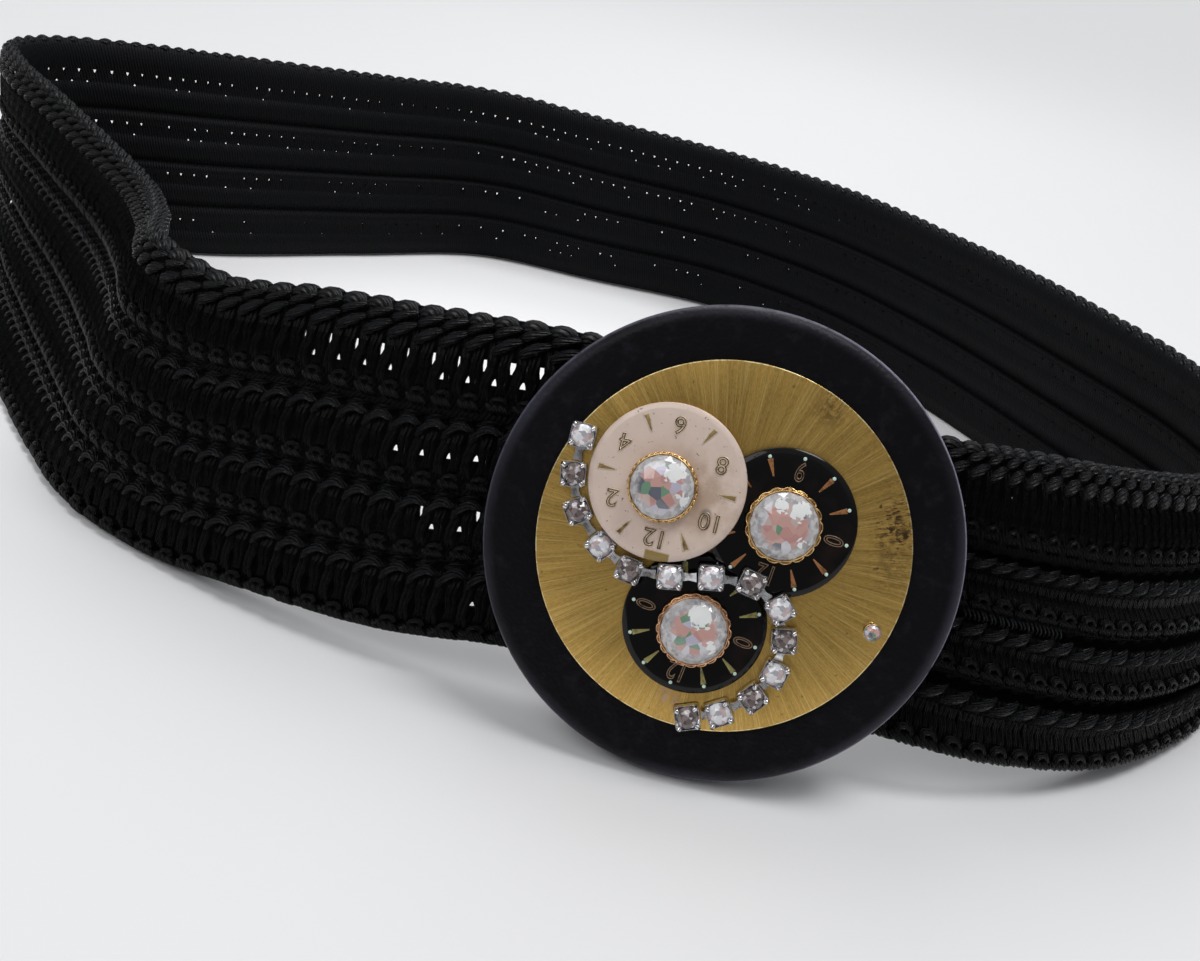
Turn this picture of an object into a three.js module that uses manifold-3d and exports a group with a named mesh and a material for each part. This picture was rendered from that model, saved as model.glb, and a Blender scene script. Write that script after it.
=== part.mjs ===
// Wide stretch belt of crocheted cord, standing on its lower edge as a fastened loop, with a round
// medallion buckle: a leather-covered disc, a sunray-brushed disc, three watch dials that lie over
// each other's edges, a large cut stone on each dial and a cup chain that winds round them.
// Millimetres, +Z up. The medallion faces -Y and leans back, and +X is on its right.

import * as THREE from 'three';
import { ConvexGeometry } from 'three/addons/geometries/ConvexGeometry.js';
import { mergeVertices } from 'three/addons/utils/BufferGeometryUtils.js';
import Module from 'manifold-3d';

const wasm = await Module();
wasm.setup();

// Driving sizes.
const GAP = 0.3;
const MEDALLION_LEAN = 22;
const LEATHER = { radius: 39, thick: 7, round: 3.5, steps: 3, segments: 48 };
const SUNRAY = { radius: 30, thick: 0.6, round: 0.1, steps: 1, segments: 48, y: 0.3 };
const BAND_THICK = 4.2;
const BAND_END_WIDTH = 54;

// The loop, one row for each section, going from behind the medallion round by the left. x and y are
// the foot of the outer face and lift is its height, lean is how far the top tips into the loop in
// degrees, gather draws the second rib in from 0 to 1, and bow is how far the middle swells outwards.
const SECTIONS = [
  { x: -10, y: -5.2, lift: 9.4, lean: 22, width: BAND_END_WIDTH, gather: 0, bow: 0 },
  { x: -32, y: -5.2, lift: 9.4, lean: 22, width: BAND_END_WIDTH, gather: 0, bow: 0 },
  { x: -55, y: -4, lift: 6, lean: 20, width: 57, gather: 0, bow: 1 },
  { x: -80, y: 1, lift: 3, lean: 19, width: 57, gather: 0, bow: 1 },
  { x: -103, y: 8, lift: 0, lean: 18, width: 55.2, gather: 0, bow: 1 },
  { x: -124, y: 18, lift: 0, lean: 17.5, width: 57, gather: 0, bow: 0 },
  { x: -145, y: 37, lift: 0, lean: 28, width: 58, gather: 0, bow: 0 },
  { x: -166, y: 60, lift: 0, lean: 33, width: 58, gather: 0, bow: 0 },
  { x: -187, y: 88, lift: 0, lean: 24, width: 57, gather: 0, bow: 0 },
  { x: -201, y: 114, lift: 0, lean: 9, width: 57, gather: 0, bow: 0 },
  { x: -205, y: 134, lift: 0, lean: 0, width: 57, gather: 0, bow: 0 },
  { x: -191, y: 150, lift: 0, lean: -7, width: 57, gather: 0, bow: 0 },
  { x: -160, y: 163, lift: 0, lean: -10, width: 57, gather: 0, bow: 0 },
  { x: -126, y: 190, lift: 0, lean: -7, width: 55, gather: 0, bow: 0 },
  { x: -91, y: 216, lift: 0, lean: -4, width: 54, gather: 0, bow: 0 },
  { x: -50, y: 218, lift: 0, lean: -1, width: 53, gather: 0, bow: 0 },
  { x: -10, y: 219, lift: 0, lean: 2, width: 52, gather: 0, bow: 0 },
  { x: 28, y: 204, lift: 0, lean: 4, width: 52, gather: 0, bow: 0 },
  { x: 60, y: 176, lift: 0, lean: 5, width: 52, gather: 0, bow: 0 },
  { x: 88, y: 141, lift: 0, lean: 7, width: 53, gather: 0, bow: 0 },
  { x: 112, y: 105, lift: 0, lean: 10, width: 53, gather: 0, bow: 1 },
  { x: 119, y: 69, lift: 0, lean: 14, width: 54, gather: 0, bow: 2 },
  { x: 103, y: 37, lift: 0, lean: 17, width: 52.5, gather: 0.1, bow: 3 },
  { x: 79, y: 13, lift: 2, lean: 20, width: 55.5, gather: 0.4, bow: 4 },
  { x: 55, y: 0, lift: 6, lean: 22, width: 54.8, gather: 0.9, bow: 3 },
  { x: 34, y: -4.7, lift: 9.4, lean: 22, width: BAND_END_WIDTH, gather: 0.6, bow: 0 },
  { x: 10, y: -4.7, lift: 9.4, lean: 22, width: BAND_END_WIDTH, gather: 0, bow: 0 },
];
const SECTION_STEP = 12;

// The ribs from the lower edge up, as shares of the width, plain and where the band is gathered.
const RIBS = [
  { plain: 0.22, gathered: 0.28 },
  { plain: 0.21, gathered: 0.21 },
  { plain: 0.24, gathered: 0.17 },
  { plain: 0.33, gathered: 0.34 },
];

// One rib from its lower groove, at shares of its own width: how deep the outer face lies, in groove
// depths, and how far the inner face stands out, in the height of the two rows that it shows there.
const RIB_FACE = [
  { at: 0, depth: 1 },
  { at: 0.16, depth: 0.32 },
  { at: 0.5, depth: 0 },
  { at: 0.84, depth: 0.32 },
];
const RIB_BACK = [
  { at: 0, stand: 0 },
  { at: 0.25, stand: 1 },
  { at: 0.5, stand: 0.2 },
  { at: 0.75, stand: 1 },
];
const GROOVE_DEPTH = 1.6;
const GATHER_DEPTH = 1.7;
const EDGE_DEPTH = 0.8;
const BACK_ROW = 0.6;

// The dials in the order in which they are laid. Each is tilted: its far edge rests on the sunray
// disc and the edge towards the given bearing lies over its neighbour. The stone sits off centre.
const DIALS = [
  { name: 'lower', x: -1.5, y: -12.3, radius: 11.6, tilt: 0, bearing: 0, stoneX: 0.1, stoneY: -0.9 },
  { name: 'right', x: 8, y: 6.7, radius: 11.9, tilt: 3.8, bearing: 243, stoneX: 0.2, stoneY: -0.3 },
  { name: 'white', x: -11, y: 8.8, radius: 12.6, tilt: 7.2, bearing: -31, stoneX: -0.3, stoneY: -0.9 },
];
const DIAL_THICK = 1;
const DIAL_ROUND = 0.35;

// A stone's lace-edged setting and the stone in it.
const SETTING = {
  radius: 5.6, foot: 5.4, footHeight: 0.5, wall: 0.45, floor: 0.4, height: 1.7,
  scallops: 13, scallopDepth: 0.25,
};
const DIAL_STONE = { radius: 4.75, table: 2.5, crown: 1.7, girdle: 0.9, sides: 8 };

// The cup chain from its upper end. level is the cup's height in dials that it lies over.
const CUPS = [
  { x: -25.7, y: 12.8, level: 0 },
  { x: -25.8, y: 6.5, level: 0 },
  { x: -23.8, y: 0.9, level: 0 },
  { x: -19, y: -3.7, level: 0 },
  { x: -13.6, y: -6.2, level: 1 },
  { x: -7.1, y: -5.6, level: 1.4 },
  { x: -0.8, y: -4, level: 2.2 },
  { x: 5.5, y: -3.4, level: 2.4 },
  { x: 10.8, y: -6.3, level: 2.2 },
  { x: 12.9, y: -11.5, level: 0.5 },
  { x: 12.8, y: -17.2, level: 0 },
  { x: 10.4, y: -21.9, level: 0 },
  { x: 5.8, y: -25.7, level: 0 },
  { x: 1, y: -27.6, level: 0 },
];
const CUP = { side: 3.6, height: 1.3, floor: 0.35, pocket: 1.68, prong: 0.55, prongTop: 2 };
const CUP_STONE = { radius: 1.45, table: 0.75, crown: 0.75, girdle: 0.55, sides: 8 };
const LINK = { width: 1.5, thick: 0.4, rise: 0.4, clear: 0.7 };
const RIM_STONE = { x: 26.2, y: -7.1, radius: 1.15, table: 0.6, crown: 0.5, girdle: 0.4, sides: 8 };

// The plain plate behind the leather disc and its two keepers, which hold the ends of the band.
const CLASP = {
  radius: 33, thick: 1.2, round: 0.2, steps: 1, segments: 36,
  keeperX: 15, keeperWide: 4, bar: 2, clearance: 0.8, deep: 5.8,
};

const MATERIALS = {
  cord: { color: 0x101113, roughness: 0.5, metalness: 0 },
  leather: { color: 0x17181b, roughness: 0.55, metalness: 0 },
  sunray: { color: 0xb08d3e, roughness: 0.35, metalness: 1 },
  steel: { color: 0x9a9a96, roughness: 0.4, metalness: 1 },
  blackDial: { color: 0x0a0809, roughness: 0.12, metalness: 0 },
  whiteDial: { color: 0xcdbfb8, roughness: 0.4, metalness: 0.3 },
  setting: { color: 0xc9a04e, roughness: 0.3, metalness: 1 },
  silver: { color: 0xc4c4c2, roughness: 0.25, metalness: 1 },
  stone: { color: 0xf2eef5, roughness: 0.05, metalness: 0 },
};

const degrees = THREE.MathUtils.degToRad;

function piece(name, geometry, finish) {
  const mesh = new THREE.Mesh(geometry, new THREE.MeshStandardMaterial(MATERIALS[finish]));
  mesh.name = name;
  return mesh;
}

// Booleans: a closed geometry as a solid, and a solid as a geometry.
function toSolid(geometry) {
  const bare = geometry.clone();
  bare.deleteAttribute('normal');
  bare.deleteAttribute('uv');
  const merged = mergeVertices(bare, 1e-4);
  const vertProperties = new Float32Array(merged.attributes.position.array);
  const triVerts = new Uint32Array(merged.index.array);
  return new wasm.Manifold(new wasm.Mesh({ numProp: 3, vertProperties, triVerts }));
}

function toGeometry(solid) {
  const mesh = solid.getMesh();
  const geometry = new THREE.BufferGeometry();
  geometry.setAttribute('position', new THREE.BufferAttribute(mesh.vertProperties, 3));
  geometry.setIndex(new THREE.BufferAttribute(mesh.triVerts, 1));
  geometry.computeVertexNormals();
  return geometry;
}

// A body turned about Z, from a profile of [radius, height] that starts and ends on the axis.
function turned(profile, segments) {
  const points = profile.map(([radius, height]) => new THREE.Vector2(radius, height));
  return new THREE.LatheGeometry(points, segments).rotateX(Math.PI / 2);
}

// A round disc that stands on z = 0. Its rim is rounded at both faces, each in this many steps.
function roundedDisc({ radius, thick, round, steps, segments }) {
  const profile = [[0, 0]];
  for (let i = -steps; i <= steps; i += 1) {
    const turn = (Math.PI / 2) * (i / steps);
    const centre = i < 0 ? round : thick - round;
    profile.push([radius - round + round * Math.cos(turn), centre + round * Math.sin(turn)]);
    if (i === 0 && thick > 2 * round) {
      profile.splice(-1, 0, [radius, round]);
    }
  }
  profile.push([0, thick]);
  return turned(profile, segments);
}

// The band.

// Boundaries between ribs as shares of the width, from the lower edge to the top edge.
function ribBounds(gather) {
  const bounds = [0];
  for (const rib of RIBS) {
    bounds.push(bounds.at(-1) + THREE.MathUtils.lerp(rib.plain, rib.gathered, gather));
  }
  return bounds.map((bound) => bound / bounds.at(-1));
}

// The outline of a section: up the outer face and down the inner one. up is the share of the width
// and inward the depth below the crests of the ribs.
function bandOutline({ gather, bow }) {
  const bounds = ribBounds(gather);
  const swell = (up) => 4 * up * (1 - up) * bow;
  const draw = (i) => (i === 2 || i === 3 ? gather * GATHER_DEPTH : 0);
  const outer = [];
  const inner = [];
  RIBS.forEach((rib, i) => {
    const width = bounds[i + 1] - bounds[i];
    for (const { at, depth } of RIB_FACE) {
      const up = bounds[i] + at * width;
      const groove = i === 0 && at === 0 ? EDGE_DEPTH : depth * (GROOVE_DEPTH + draw(i));
      outer.push({ up, inward: groove - swell(up) });
    }
    for (const { at, stand } of RIB_BACK) {
      const up = bounds[i] + at * width;
      const drawn = at === 0 ? draw(i) : 0.5 * draw(i);
      const edge = i === 0 && at === 0 ? -EDGE_DEPTH : 0;
      inner.push({ up, inward: BAND_THICK - BACK_ROW * (1 - stand) + drawn + edge - swell(up) });
    }
  });
  outer.push({ up: 1, inward: EDGE_DEPTH });
  inner.push({ up: 1, inward: BAND_THICK - EDGE_DEPTH });
  return [...outer, ...inner.reverse()];
}

// A smooth curve through two or three columns of the sections.
function curveThrough(columns) {
  const points = SECTIONS.map((row) => new THREE.Vector3(...columns.map((column) => row[column])));
  return new THREE.CatmullRomCurve3(points, false, 'catmullrom', 0.5);
}

// The loop's sections in space, evenly spaced along the foot line.
function bandSections() {
  const foot = curveThrough(['x', 'y', 'lift']);
  const stance = curveThrough(['lean', 'width']);
  const form = curveThrough(['gather', 'bow']);
  const count = Math.round(foot.getLength() / SECTION_STEP);
  const sections = [];
  for (let i = 0; i <= count; i += 1) {
    const t = foot.getUtoTmapping(i / count);
    const base = foot.getPoint(t);
    base.z = Math.max(base.z, 0);
    const along = foot.getTangent(t).setZ(0).normalize();
    const inside = new THREE.Vector3(along.y, -along.x, 0);
    const { x: lean, y: width } = stance.getPoint(t);
    const { x: gather, y: bow } = form.getPoint(t);
    const tip = degrees(lean);
    const up = inside.clone().multiplyScalar(Math.sin(tip)).setZ(Math.cos(tip));
    const inward = inside.clone().multiplyScalar(Math.cos(tip)).setZ(-Math.sin(tip));
    const outline = bandOutline({ gather: Math.max(gather, 0), bow: Math.max(bow, 0) });
    sections.push(outline.map((point) => {
      // The lower edge is level, so it starts higher up the slope on the inner face.
      const start = point.inward * Math.tan(tip);
      const rise = start + point.up * (width - start);
      return base.clone().addScaledVector(up, rise).addScaledVector(inward, point.inward);
    }));
  }
  return sections;
}

// A closed skin through all sections, with a flat cap on each end.
function makeBand() {
  const sections = bandSections();
  const size = sections[0].length;
  const positions = sections.flatMap((ring) => ring.flatMap((point) => point.toArray()));
  const indices = [];
  for (let i = 0; i + 1 < sections.length; i += 1) {
    for (let j = 0; j < size; j += 1) {
      const a = i * size + j;
      const b = i * size + ((j + 1) % size);
      indices.push(a, b, b + size, a, b + size, a + size);
    }
  }
  const capOutline = bandOutline({ gather: 0, bow: 0 });
  const flat = capOutline.map(({ up, inward }) => new THREE.Vector2(up * BAND_END_WIDTH, inward));
  const end = (sections.length - 1) * size;
  for (const [a, b, c] of THREE.ShapeUtils.triangulateShape(flat, [])) {
    indices.push(a, c, b, end + a, end + b, end + c);
  }
  const geometry = new THREE.BufferGeometry();
  geometry.setAttribute('position', new THREE.Float32BufferAttribute(positions, 3));
  geometry.setIndex(indices);
  geometry.computeVertexNormals();
  return piece('band', geometry, 'cord');
}

// The medallion. Its own frame has X to the right, Y up the face and Z out of the face, with zero at
// the middle of the leather disc.

const LEATHER_FRONT = LEATHER.thick / 2;
const DECK = LEATHER_FRONT + GAP + SUNRAY.thick;

function makeLeatherDisc() {
  const mesh = piece('leather_disc', roundedDisc(LEATHER), 'leather');
  mesh.position.z = -LEATHER.thick / 2;
  return mesh;
}

function makeSunrayDisc() {
  const mesh = piece('sunray_disc', roundedDisc(SUNRAY), 'sunray');
  mesh.position.set(0, SUNRAY.y, LEATHER_FRONT + GAP);
  return mesh;
}

// A keeper is a U of flat bar, open towards the plate, that goes round the end of the band.
function keeperGeometry(x) {
  const { thick, keeperWide, bar, clearance, deep } = CLASP;
  const inside = BAND_END_WIDTH / 2 + clearance;
  const shape = new THREE.Shape();
  shape.moveTo(-inside - bar, 0);
  shape.lineTo(-inside, 0);
  shape.lineTo(-inside, thick + deep);
  shape.lineTo(inside, thick + deep);
  shape.lineTo(inside, 0);
  shape.lineTo(inside + bar, 0);
  shape.lineTo(inside + bar, thick + deep + bar);
  shape.lineTo(-inside - bar, thick + deep + bar);
  const geometry = new THREE.ExtrudeGeometry(shape, { depth: keeperWide, bevelEnabled: false });
  // The shape's X runs up the face, its Y away from the face, and it is as long as the bar is wide.
  const turn = new THREE.Matrix4().makeBasis(
    new THREE.Vector3(0, 1, 0), new THREE.Vector3(0, 0, -1), new THREE.Vector3(-1, 0, 0));
  return geometry.applyMatrix4(turn).translate(x + keeperWide / 2, 0, 0);
}

function makeClaspPlate() {
  const { keeperX } = CLASP;
  let solid = toSolid(roundedDisc(CLASP).translate(0, 0, -CLASP.thick));
  for (const x of [-keeperX, keeperX]) {
    solid = solid.add(toSolid(keeperGeometry(x)));
  }
  const mesh = piece('clasp_plate', toGeometry(solid), 'steel');
  mesh.position.z = -LEATHER.thick / 2 - GAP;
  return mesh;
}

// A cut stone with its flat base on z = 0: a table, kites round it, and small facets at the girdle.
// Its base is narrower than its girdle, and the kites' corners bulge past a straight slope.
const STONE_BASE = 0.72;
const KITE_BULGE = 0.06;
const KITE_HEIGHT = 0.66;
function cutStone({ radius, table, crown, girdle, sides }) {
  const points = [];
  const ring = (ringRadius, height, count, turn) => {
    for (let i = 0; i < count; i += 1) {
      const angle = ((i + turn) / count) * 2 * Math.PI;
      points.push(new THREE.Vector3(ringRadius * Math.cos(angle), ringRadius * Math.sin(angle), height));
    }
  };
  ring(radius * STONE_BASE, 0, sides, 0);
  ring(radius, girdle, 2 * sides, 0);
  ring((radius + table) / 2 + KITE_BULGE * radius, girdle + KITE_HEIGHT * crown, sides, 0.5);
  ring(table, girdle + crown, sides, 0);
  return new ConvexGeometry(points);
}

// A turned cup whose upper wall swings in and out in scallops.
function settingGeometry() {
  const { radius, foot, footHeight, wall, floor, height, scallops, scallopDepth } = SETTING;
  const inner = radius - wall - scallopDepth;
  const outside = [[0, 0], [inner, 0], [foot, footHeight], [radius, height]];
  const profile = [...outside, [radius - wall, height], [inner, floor], [0, floor]];
  const geometry = turned(profile, 2 * scallops);
  const place = geometry.attributes.position;
  const point = new THREE.Vector3();
  for (let i = 0; i < place.count; i += 1) {
    point.fromBufferAttribute(place, i);
    if (point.z > footHeight) {
      const inwards = 0.5 * scallopDepth * (1 - Math.cos(scallops * Math.atan2(point.y, point.x)));
      const reach = Math.hypot(point.x, point.y);
      point.x *= (reach - inwards) / reach;
      point.y *= (reach - inwards) / reach;
      point.z -= inwards;
      place.setXYZ(i, point.x, point.y, point.z);
    }
  }
  return geometry;
}

// A dial with its setting and stone, in a group that is tilted so that its far edge rests on the disc.
function makeDial(dial) {
  const group = new THREE.Group();
  const tilt = degrees(dial.tilt);
  const bearing = degrees(dial.bearing);
  group.position.set(dial.x, dial.y, DECK + GAP + dial.radius * Math.sin(tilt));
  group.quaternion.setFromAxisAngle(new THREE.Vector3(Math.sin(bearing), -Math.cos(bearing), 0), tilt);
  const name = dial.name === 'white' ? 'white_dial' : `black_dial_${dial.name}`;
  const finish = dial.name === 'white' ? 'whiteDial' : 'blackDial';
  const size = { radius: dial.radius, thick: DIAL_THICK, round: DIAL_ROUND, steps: 2, segments: 32 };
  group.add(piece(name, roundedDisc(size), finish));
  const setting = piece(`stone_setting_${dial.name}`, settingGeometry(), 'setting');
  setting.position.set(dial.stoneX, dial.stoneY, DIAL_THICK + GAP);
  const stone = piece(`stone_${dial.name}`, cutStone(DIAL_STONE), 'stone');
  stone.position.set(dial.stoneX, dial.stoneY, DIAL_THICK + SETTING.floor + 2 * GAP);
  group.add(setting, stone);
  return group;
}

// A square cup with a round pocket, a prong on each corner and, but for the last, a link to the next.
function cupGeometry(toNext) {
  const { side, height, floor, pocket, prong, prongTop } = CUP;
  const body = toSolid(new THREE.BoxGeometry(side, side, height).translate(0, 0, height / 2));
  const hole = new THREE.CylinderGeometry(pocket, pocket, height, 8).rotateX(Math.PI / 2);
  let solid = body.subtract(toSolid(hole.translate(0, 0, floor + height / 2)));
  for (const x of [-1, 1]) {
    for (const y of [-1, 1]) {
      const post = new THREE.BoxGeometry(prong, prong, prongTop);
      post.translate(x * side / 2, y * side / 2, prongTop / 2);
      solid = solid.add(toSolid(post));
    }
  }
  if (toNext) {
    const span = Math.hypot(toNext.x, toNext.y);
    const start = (side - prong) / 2;
    const length = span - side / 2 - LINK.clear - start;
    const link = new THREE.BoxGeometry(length, LINK.width, LINK.thick);
    link.translate(length / 2, 0, 0).rotateY(-Math.atan2(toNext.z, span));
    link.translate(start, 0, LINK.rise).rotateZ(Math.atan2(toNext.y, toNext.x));
    solid = solid.add(toSolid(link));
  }
  return toGeometry(solid);
}

function makeCupChain() {
  const group = new THREE.Group();
  const dialTop = DIAL_THICK + GAP;
  const places = CUPS.map(({ x, y, level }) => new THREE.Vector3(x, y, DECK + GAP + level * dialTop));
  places.forEach((place, i) => {
    const before = places[Math.max(i - 1, 0)];
    const after = places[Math.min(i + 1, places.length - 1)];
    const heading = Math.atan2(after.y - before.y, after.x - before.x);
    const next = i + 1 < places.length
      ? after.clone().sub(place).applyAxisAngle(new THREE.Vector3(0, 0, 1), -heading) : null;
    const number = String(i + 1).padStart(2, '0');
    const link = new THREE.Group();
    link.position.copy(place);
    link.rotation.z = heading;
    const stone = piece(`chain_stone_${number}`, cutStone(CUP_STONE), 'stone');
    stone.position.z = CUP.floor + GAP / 2;
    link.add(piece(`chain_cup_${number}`, cupGeometry(next), 'silver'), stone);
    group.add(link);
  });
  return group;
}

function makeRimStone() {
  const mesh = piece('rim_stone', cutStone(RIM_STONE), 'stone');
  mesh.position.set(RIM_STONE.x, RIM_STONE.y, DECK + GAP);
  return mesh;
}

// The medallion leans back with its rim on the ground.
function makeMedallion() {
  const medallion = new THREE.Group();
  const lean = degrees(MEDALLION_LEAN);
  medallion.rotation.x = Math.PI / 2 - lean;
  medallion.position.z = (LEATHER.radius - LEATHER.round) * Math.cos(lean) + LEATHER.round;
  medallion.add(makeLeatherDisc(), makeSunrayDisc(), makeClaspPlate(), makeRimStone(), makeCupChain());
  for (const dial of DIALS) {
    medallion.add(makeDial(dial));
  }
  return medallion;
}

// The belt's origin is below the middle of its own box, on the ground.
const belt = new THREE.Group();
belt.add(makeBand(), makeMedallion());
belt.updateMatrixWorld(true);
const box = new THREE.Box3().setFromObject(belt, true);
belt.position.set(-(box.min.x + box.max.x) / 2, -(box.min.y + box.max.y) / 2, -box.min.z);
belt.updateMatrixWorld(true);

export default belt;
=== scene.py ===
"""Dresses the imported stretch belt: cord stitches all round the band, the leather medallion with
its brushed disc, watch dials, clear stones and cup chain, and a pale studio with the camera.

Tables are in millimetres, as the belt was measured. Meshes and places are in metres, +Z up.
"""

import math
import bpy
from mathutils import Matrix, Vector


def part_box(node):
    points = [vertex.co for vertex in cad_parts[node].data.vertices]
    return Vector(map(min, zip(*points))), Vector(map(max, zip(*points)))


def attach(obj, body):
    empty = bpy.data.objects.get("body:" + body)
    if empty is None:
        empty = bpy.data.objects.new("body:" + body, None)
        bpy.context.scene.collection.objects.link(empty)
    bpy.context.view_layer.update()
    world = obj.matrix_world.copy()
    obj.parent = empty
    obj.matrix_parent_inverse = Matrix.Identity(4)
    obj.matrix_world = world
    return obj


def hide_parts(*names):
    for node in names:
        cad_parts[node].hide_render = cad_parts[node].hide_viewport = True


bl_info = {
    "name": "Stretch Belt Dressing",
    "version": (1, 0, 0),
    "blender": (4, 5, 0),
    "location": "3D View > Sidebar > Belt",
    "description": "Stitches the cord band and dresses the jewelled medallion of the packed belt",
    "category": "Object",
}

from collections import namedtuple

import bmesh
import bpy
import numpy as np
from mathutils import Matrix, Vector

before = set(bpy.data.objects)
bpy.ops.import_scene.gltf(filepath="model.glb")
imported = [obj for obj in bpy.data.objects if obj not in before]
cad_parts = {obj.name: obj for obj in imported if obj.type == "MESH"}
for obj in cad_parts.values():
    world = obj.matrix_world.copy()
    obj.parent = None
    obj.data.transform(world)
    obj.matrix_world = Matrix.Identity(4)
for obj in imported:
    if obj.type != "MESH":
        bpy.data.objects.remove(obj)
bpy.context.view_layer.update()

MM = 0.001
SEED = 11


def table(columns, *rows):
    """Rows whose columns have names."""
    row_type = namedtuple("Row", columns)
    return tuple(row_type(*row) for row in rows)


# The loop of the band, from behind the medallion round by the left. x and y are the foot of the
# outer face from the medallion's middle, lift is the foot's height, lean tips the top into the
# loop in degrees, gather draws the ribs in and bow is how far the middle swells outwards.
SECTIONS = table(
    "x y lift lean width gather bow",
    (-10, -5.2, 9.4, 22, 54, 0, 0),
    (-32, -5.2, 8.9, 22, 56, 0, 0),
    (-55, -4, 5.2, 20, 57.7, 0, 1),
    (-80, 1, 2.8, 19, 57, 0, 1),
    (-103, 8, 0, 18, 55.2, 0, 1),
    (-124, 18, 0, 17.5, 57, 0, 0),
    (-145, 37, 0, 28, 58, 0, 0),
    (-166, 60, 0, 33, 58, 0, 0),
    (-187, 88, 0, 24, 57, 0, 0),
    (-201, 114, 0, 9, 57, 0, 0),
    (-205, 134, 0, 0, 57, 0, 0),
    (-191, 150, 0, -7, 57, 0, 0),
    (-160, 164.2, 0.8, -10, 56.5, 0, 0),
    (-126, 191.2, 0.8, -7, 54.5, 0, 0),
    (-91, 217.3, 0.8, -4, 52.9, 0, 0),
    (-50, 219.5, 0.8, -1, 51.5, 0, 0),
    (-10, 220.5, 0.8, 2, 50.5, 0, 0),
    (28, 205, 0.8, 4, 51, 0, 0),
    (60, 176.5, 0.5, 5, 51.5, 0, 0),
    (88, 141, 0, 7, 53, 0, 0),
    (112, 105, 0, 10, 53, 0, 1),
    (119, 69, 0, 14, 52.5, 0, 2),
    (103, 37, 0, 17, 52.5, 0.1, 3),
    (79, 13, 2, 20, 55.5, 0.4, 4),
    (55, 0, 6, 22, 54.8, 0.9, 3),
    (34, -4.7, 9.4, 22, 52.3, 0.6, 0),
    (10, -4.7, 9.4, 22, 54, 0, 0),
)
SPAN_STEPS = 40
BAND_THICK = 4.2
PLAIN_WIDTH = 57.0

# The ribs from the lower edge up: their shares of the width, plain and gathered, and where the
# parts of the stitch sit in each, as shares of the rib.
RIBS = table(
    "plain gathered leaf hole_high hole_low knob",
    (0.245, 0.275, 0.87, 0.66, 0.44, 0.17),
    (0.21, 0.215, 0.86, 0.69, 0.47, 0.18),
    (0.235, 0.195, 0.87, 0.69, 0.48, 0.17),
    (0.31, 0.315, 0.76, 0.525, 0.37, 0.15),
)
RIB_NAMES = ("lowest", "lower", "upper", "highest")
TOP_RIB = len(RIBS) - 1
# How deep the grooves between the ribs are, plain and where gathered, and the band's own edges.
GROOVE_DEPTH, GATHERED_GROOVE, EDGE_DEPTH = 1.7, 0.6, 0.8
# The upright strands lie back from the leaves and knobs, over FLOAT_SPREAD of the rib on both
# sides of their middle: by FLOAT_RECESS everywhere, by GATHER_DRAW where gathered and by
# DRAWN_RECESS right of the medallion, both of them with a value for each rib. DRAWN_REACH says how
# far from the band's end the last of them is full, and where it starts.
FLOAT_RECESS, FLOAT_SPREAD = 0.3, 0.3
GATHER_DRAW = (0.3, 0.4, 0.5, 0.3)
DRAWN_REACH = (150.0, 215.0)
DRAWN_RECESS = (1.5, 1.6, 1.6, 0.2)

# The stitches. The length of one changes round the loop at PITCH_MARKS, and NOMINAL_PITCH is the
# length at which they are drawn. NUDGE is how far each stands off its place at random.
PITCH_MARKS = (0.0, 0.1, 0.24, 0.75, 1.0)
NOMINAL_PITCH = 4.1
NUDGE = (0.14, 0.10, 0.10)
# The plump leaves of a stitch, each from its fat left end to its tucked right end. An end is a
# share of the stitch, millimetres above the row of leaves, and millimetres out of the face.
LEAF_COLUMNS = "start end width thick rings sides fat bow"
RIB_LEAVES = table(
    LEAF_COLUMNS,
    ((-0.34, -2.2, 0.7), (0.70, -0.5, 0.25), 1.5, 1.7, 8, 7, 0.72, 2.0),
    ((-0.30, 1.0, 0.1), (0.70, 1.9, -0.5), 1.2, 1.1, 6, 5, 0.72, 0.0),
)
TOP_LEAVES = table(
    LEAF_COLUMNS,
    ((-0.30, -2.0, 0.65), (0.76, 1.2, 0.2), 2.0, 1.7, 8, 7, 0.72, 0.5),
    ((-0.45, 0.9, 0.3), (0.60, 3.1, 0.1), 1.7, 1.4, 6, 6, 0.72, 0.3),
)
DRAWN_LEAVES = table(
    LEAF_COLUMNS,
    ((-0.76, -2.3, 1.2), (0.70, 1.0, 2.0), 1.15, 1.7, 9, 7, 0.8, 0.0),
    ((-0.35, 1.3, -0.2), (0.65, 2.0, -0.8), 1.0, 1.0, 6, 5, 0.72, 0.0),
)
# How far the middle of every leaf arches out of the face.
LEAF_ARCH = 0.35
# The gaps between the bundles: where their middles lie along the stitch, the slit, and the tear
# shape to which it swells.
HIGH_HOLE_AT, LOW_HOLE_AT = 0.5, 1.0
SLIT, HOLE_SWELL, HOLE_HALF_HEIGHT = 0.14, 0.60, 1.25
KNOB_AT, DRAWN_KNOB = 0.30, 1.25
DRAWN_STRANDS = 5
# Right of the medallion the bundles of the top rib are narrower by LOOSE on each side, and stand
# out more by LOOSE_LIFT.
LOOSE, LOOSE_LIFT = 0.28, 0.56
# The overcast threads: how many, how far from the band's end in stitches, and their length.
OVERCAST_COUNT, OVERCAST_STITCHES, OVERCAST_REACH = 24, (7.0, 11.5), 2.4

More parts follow.
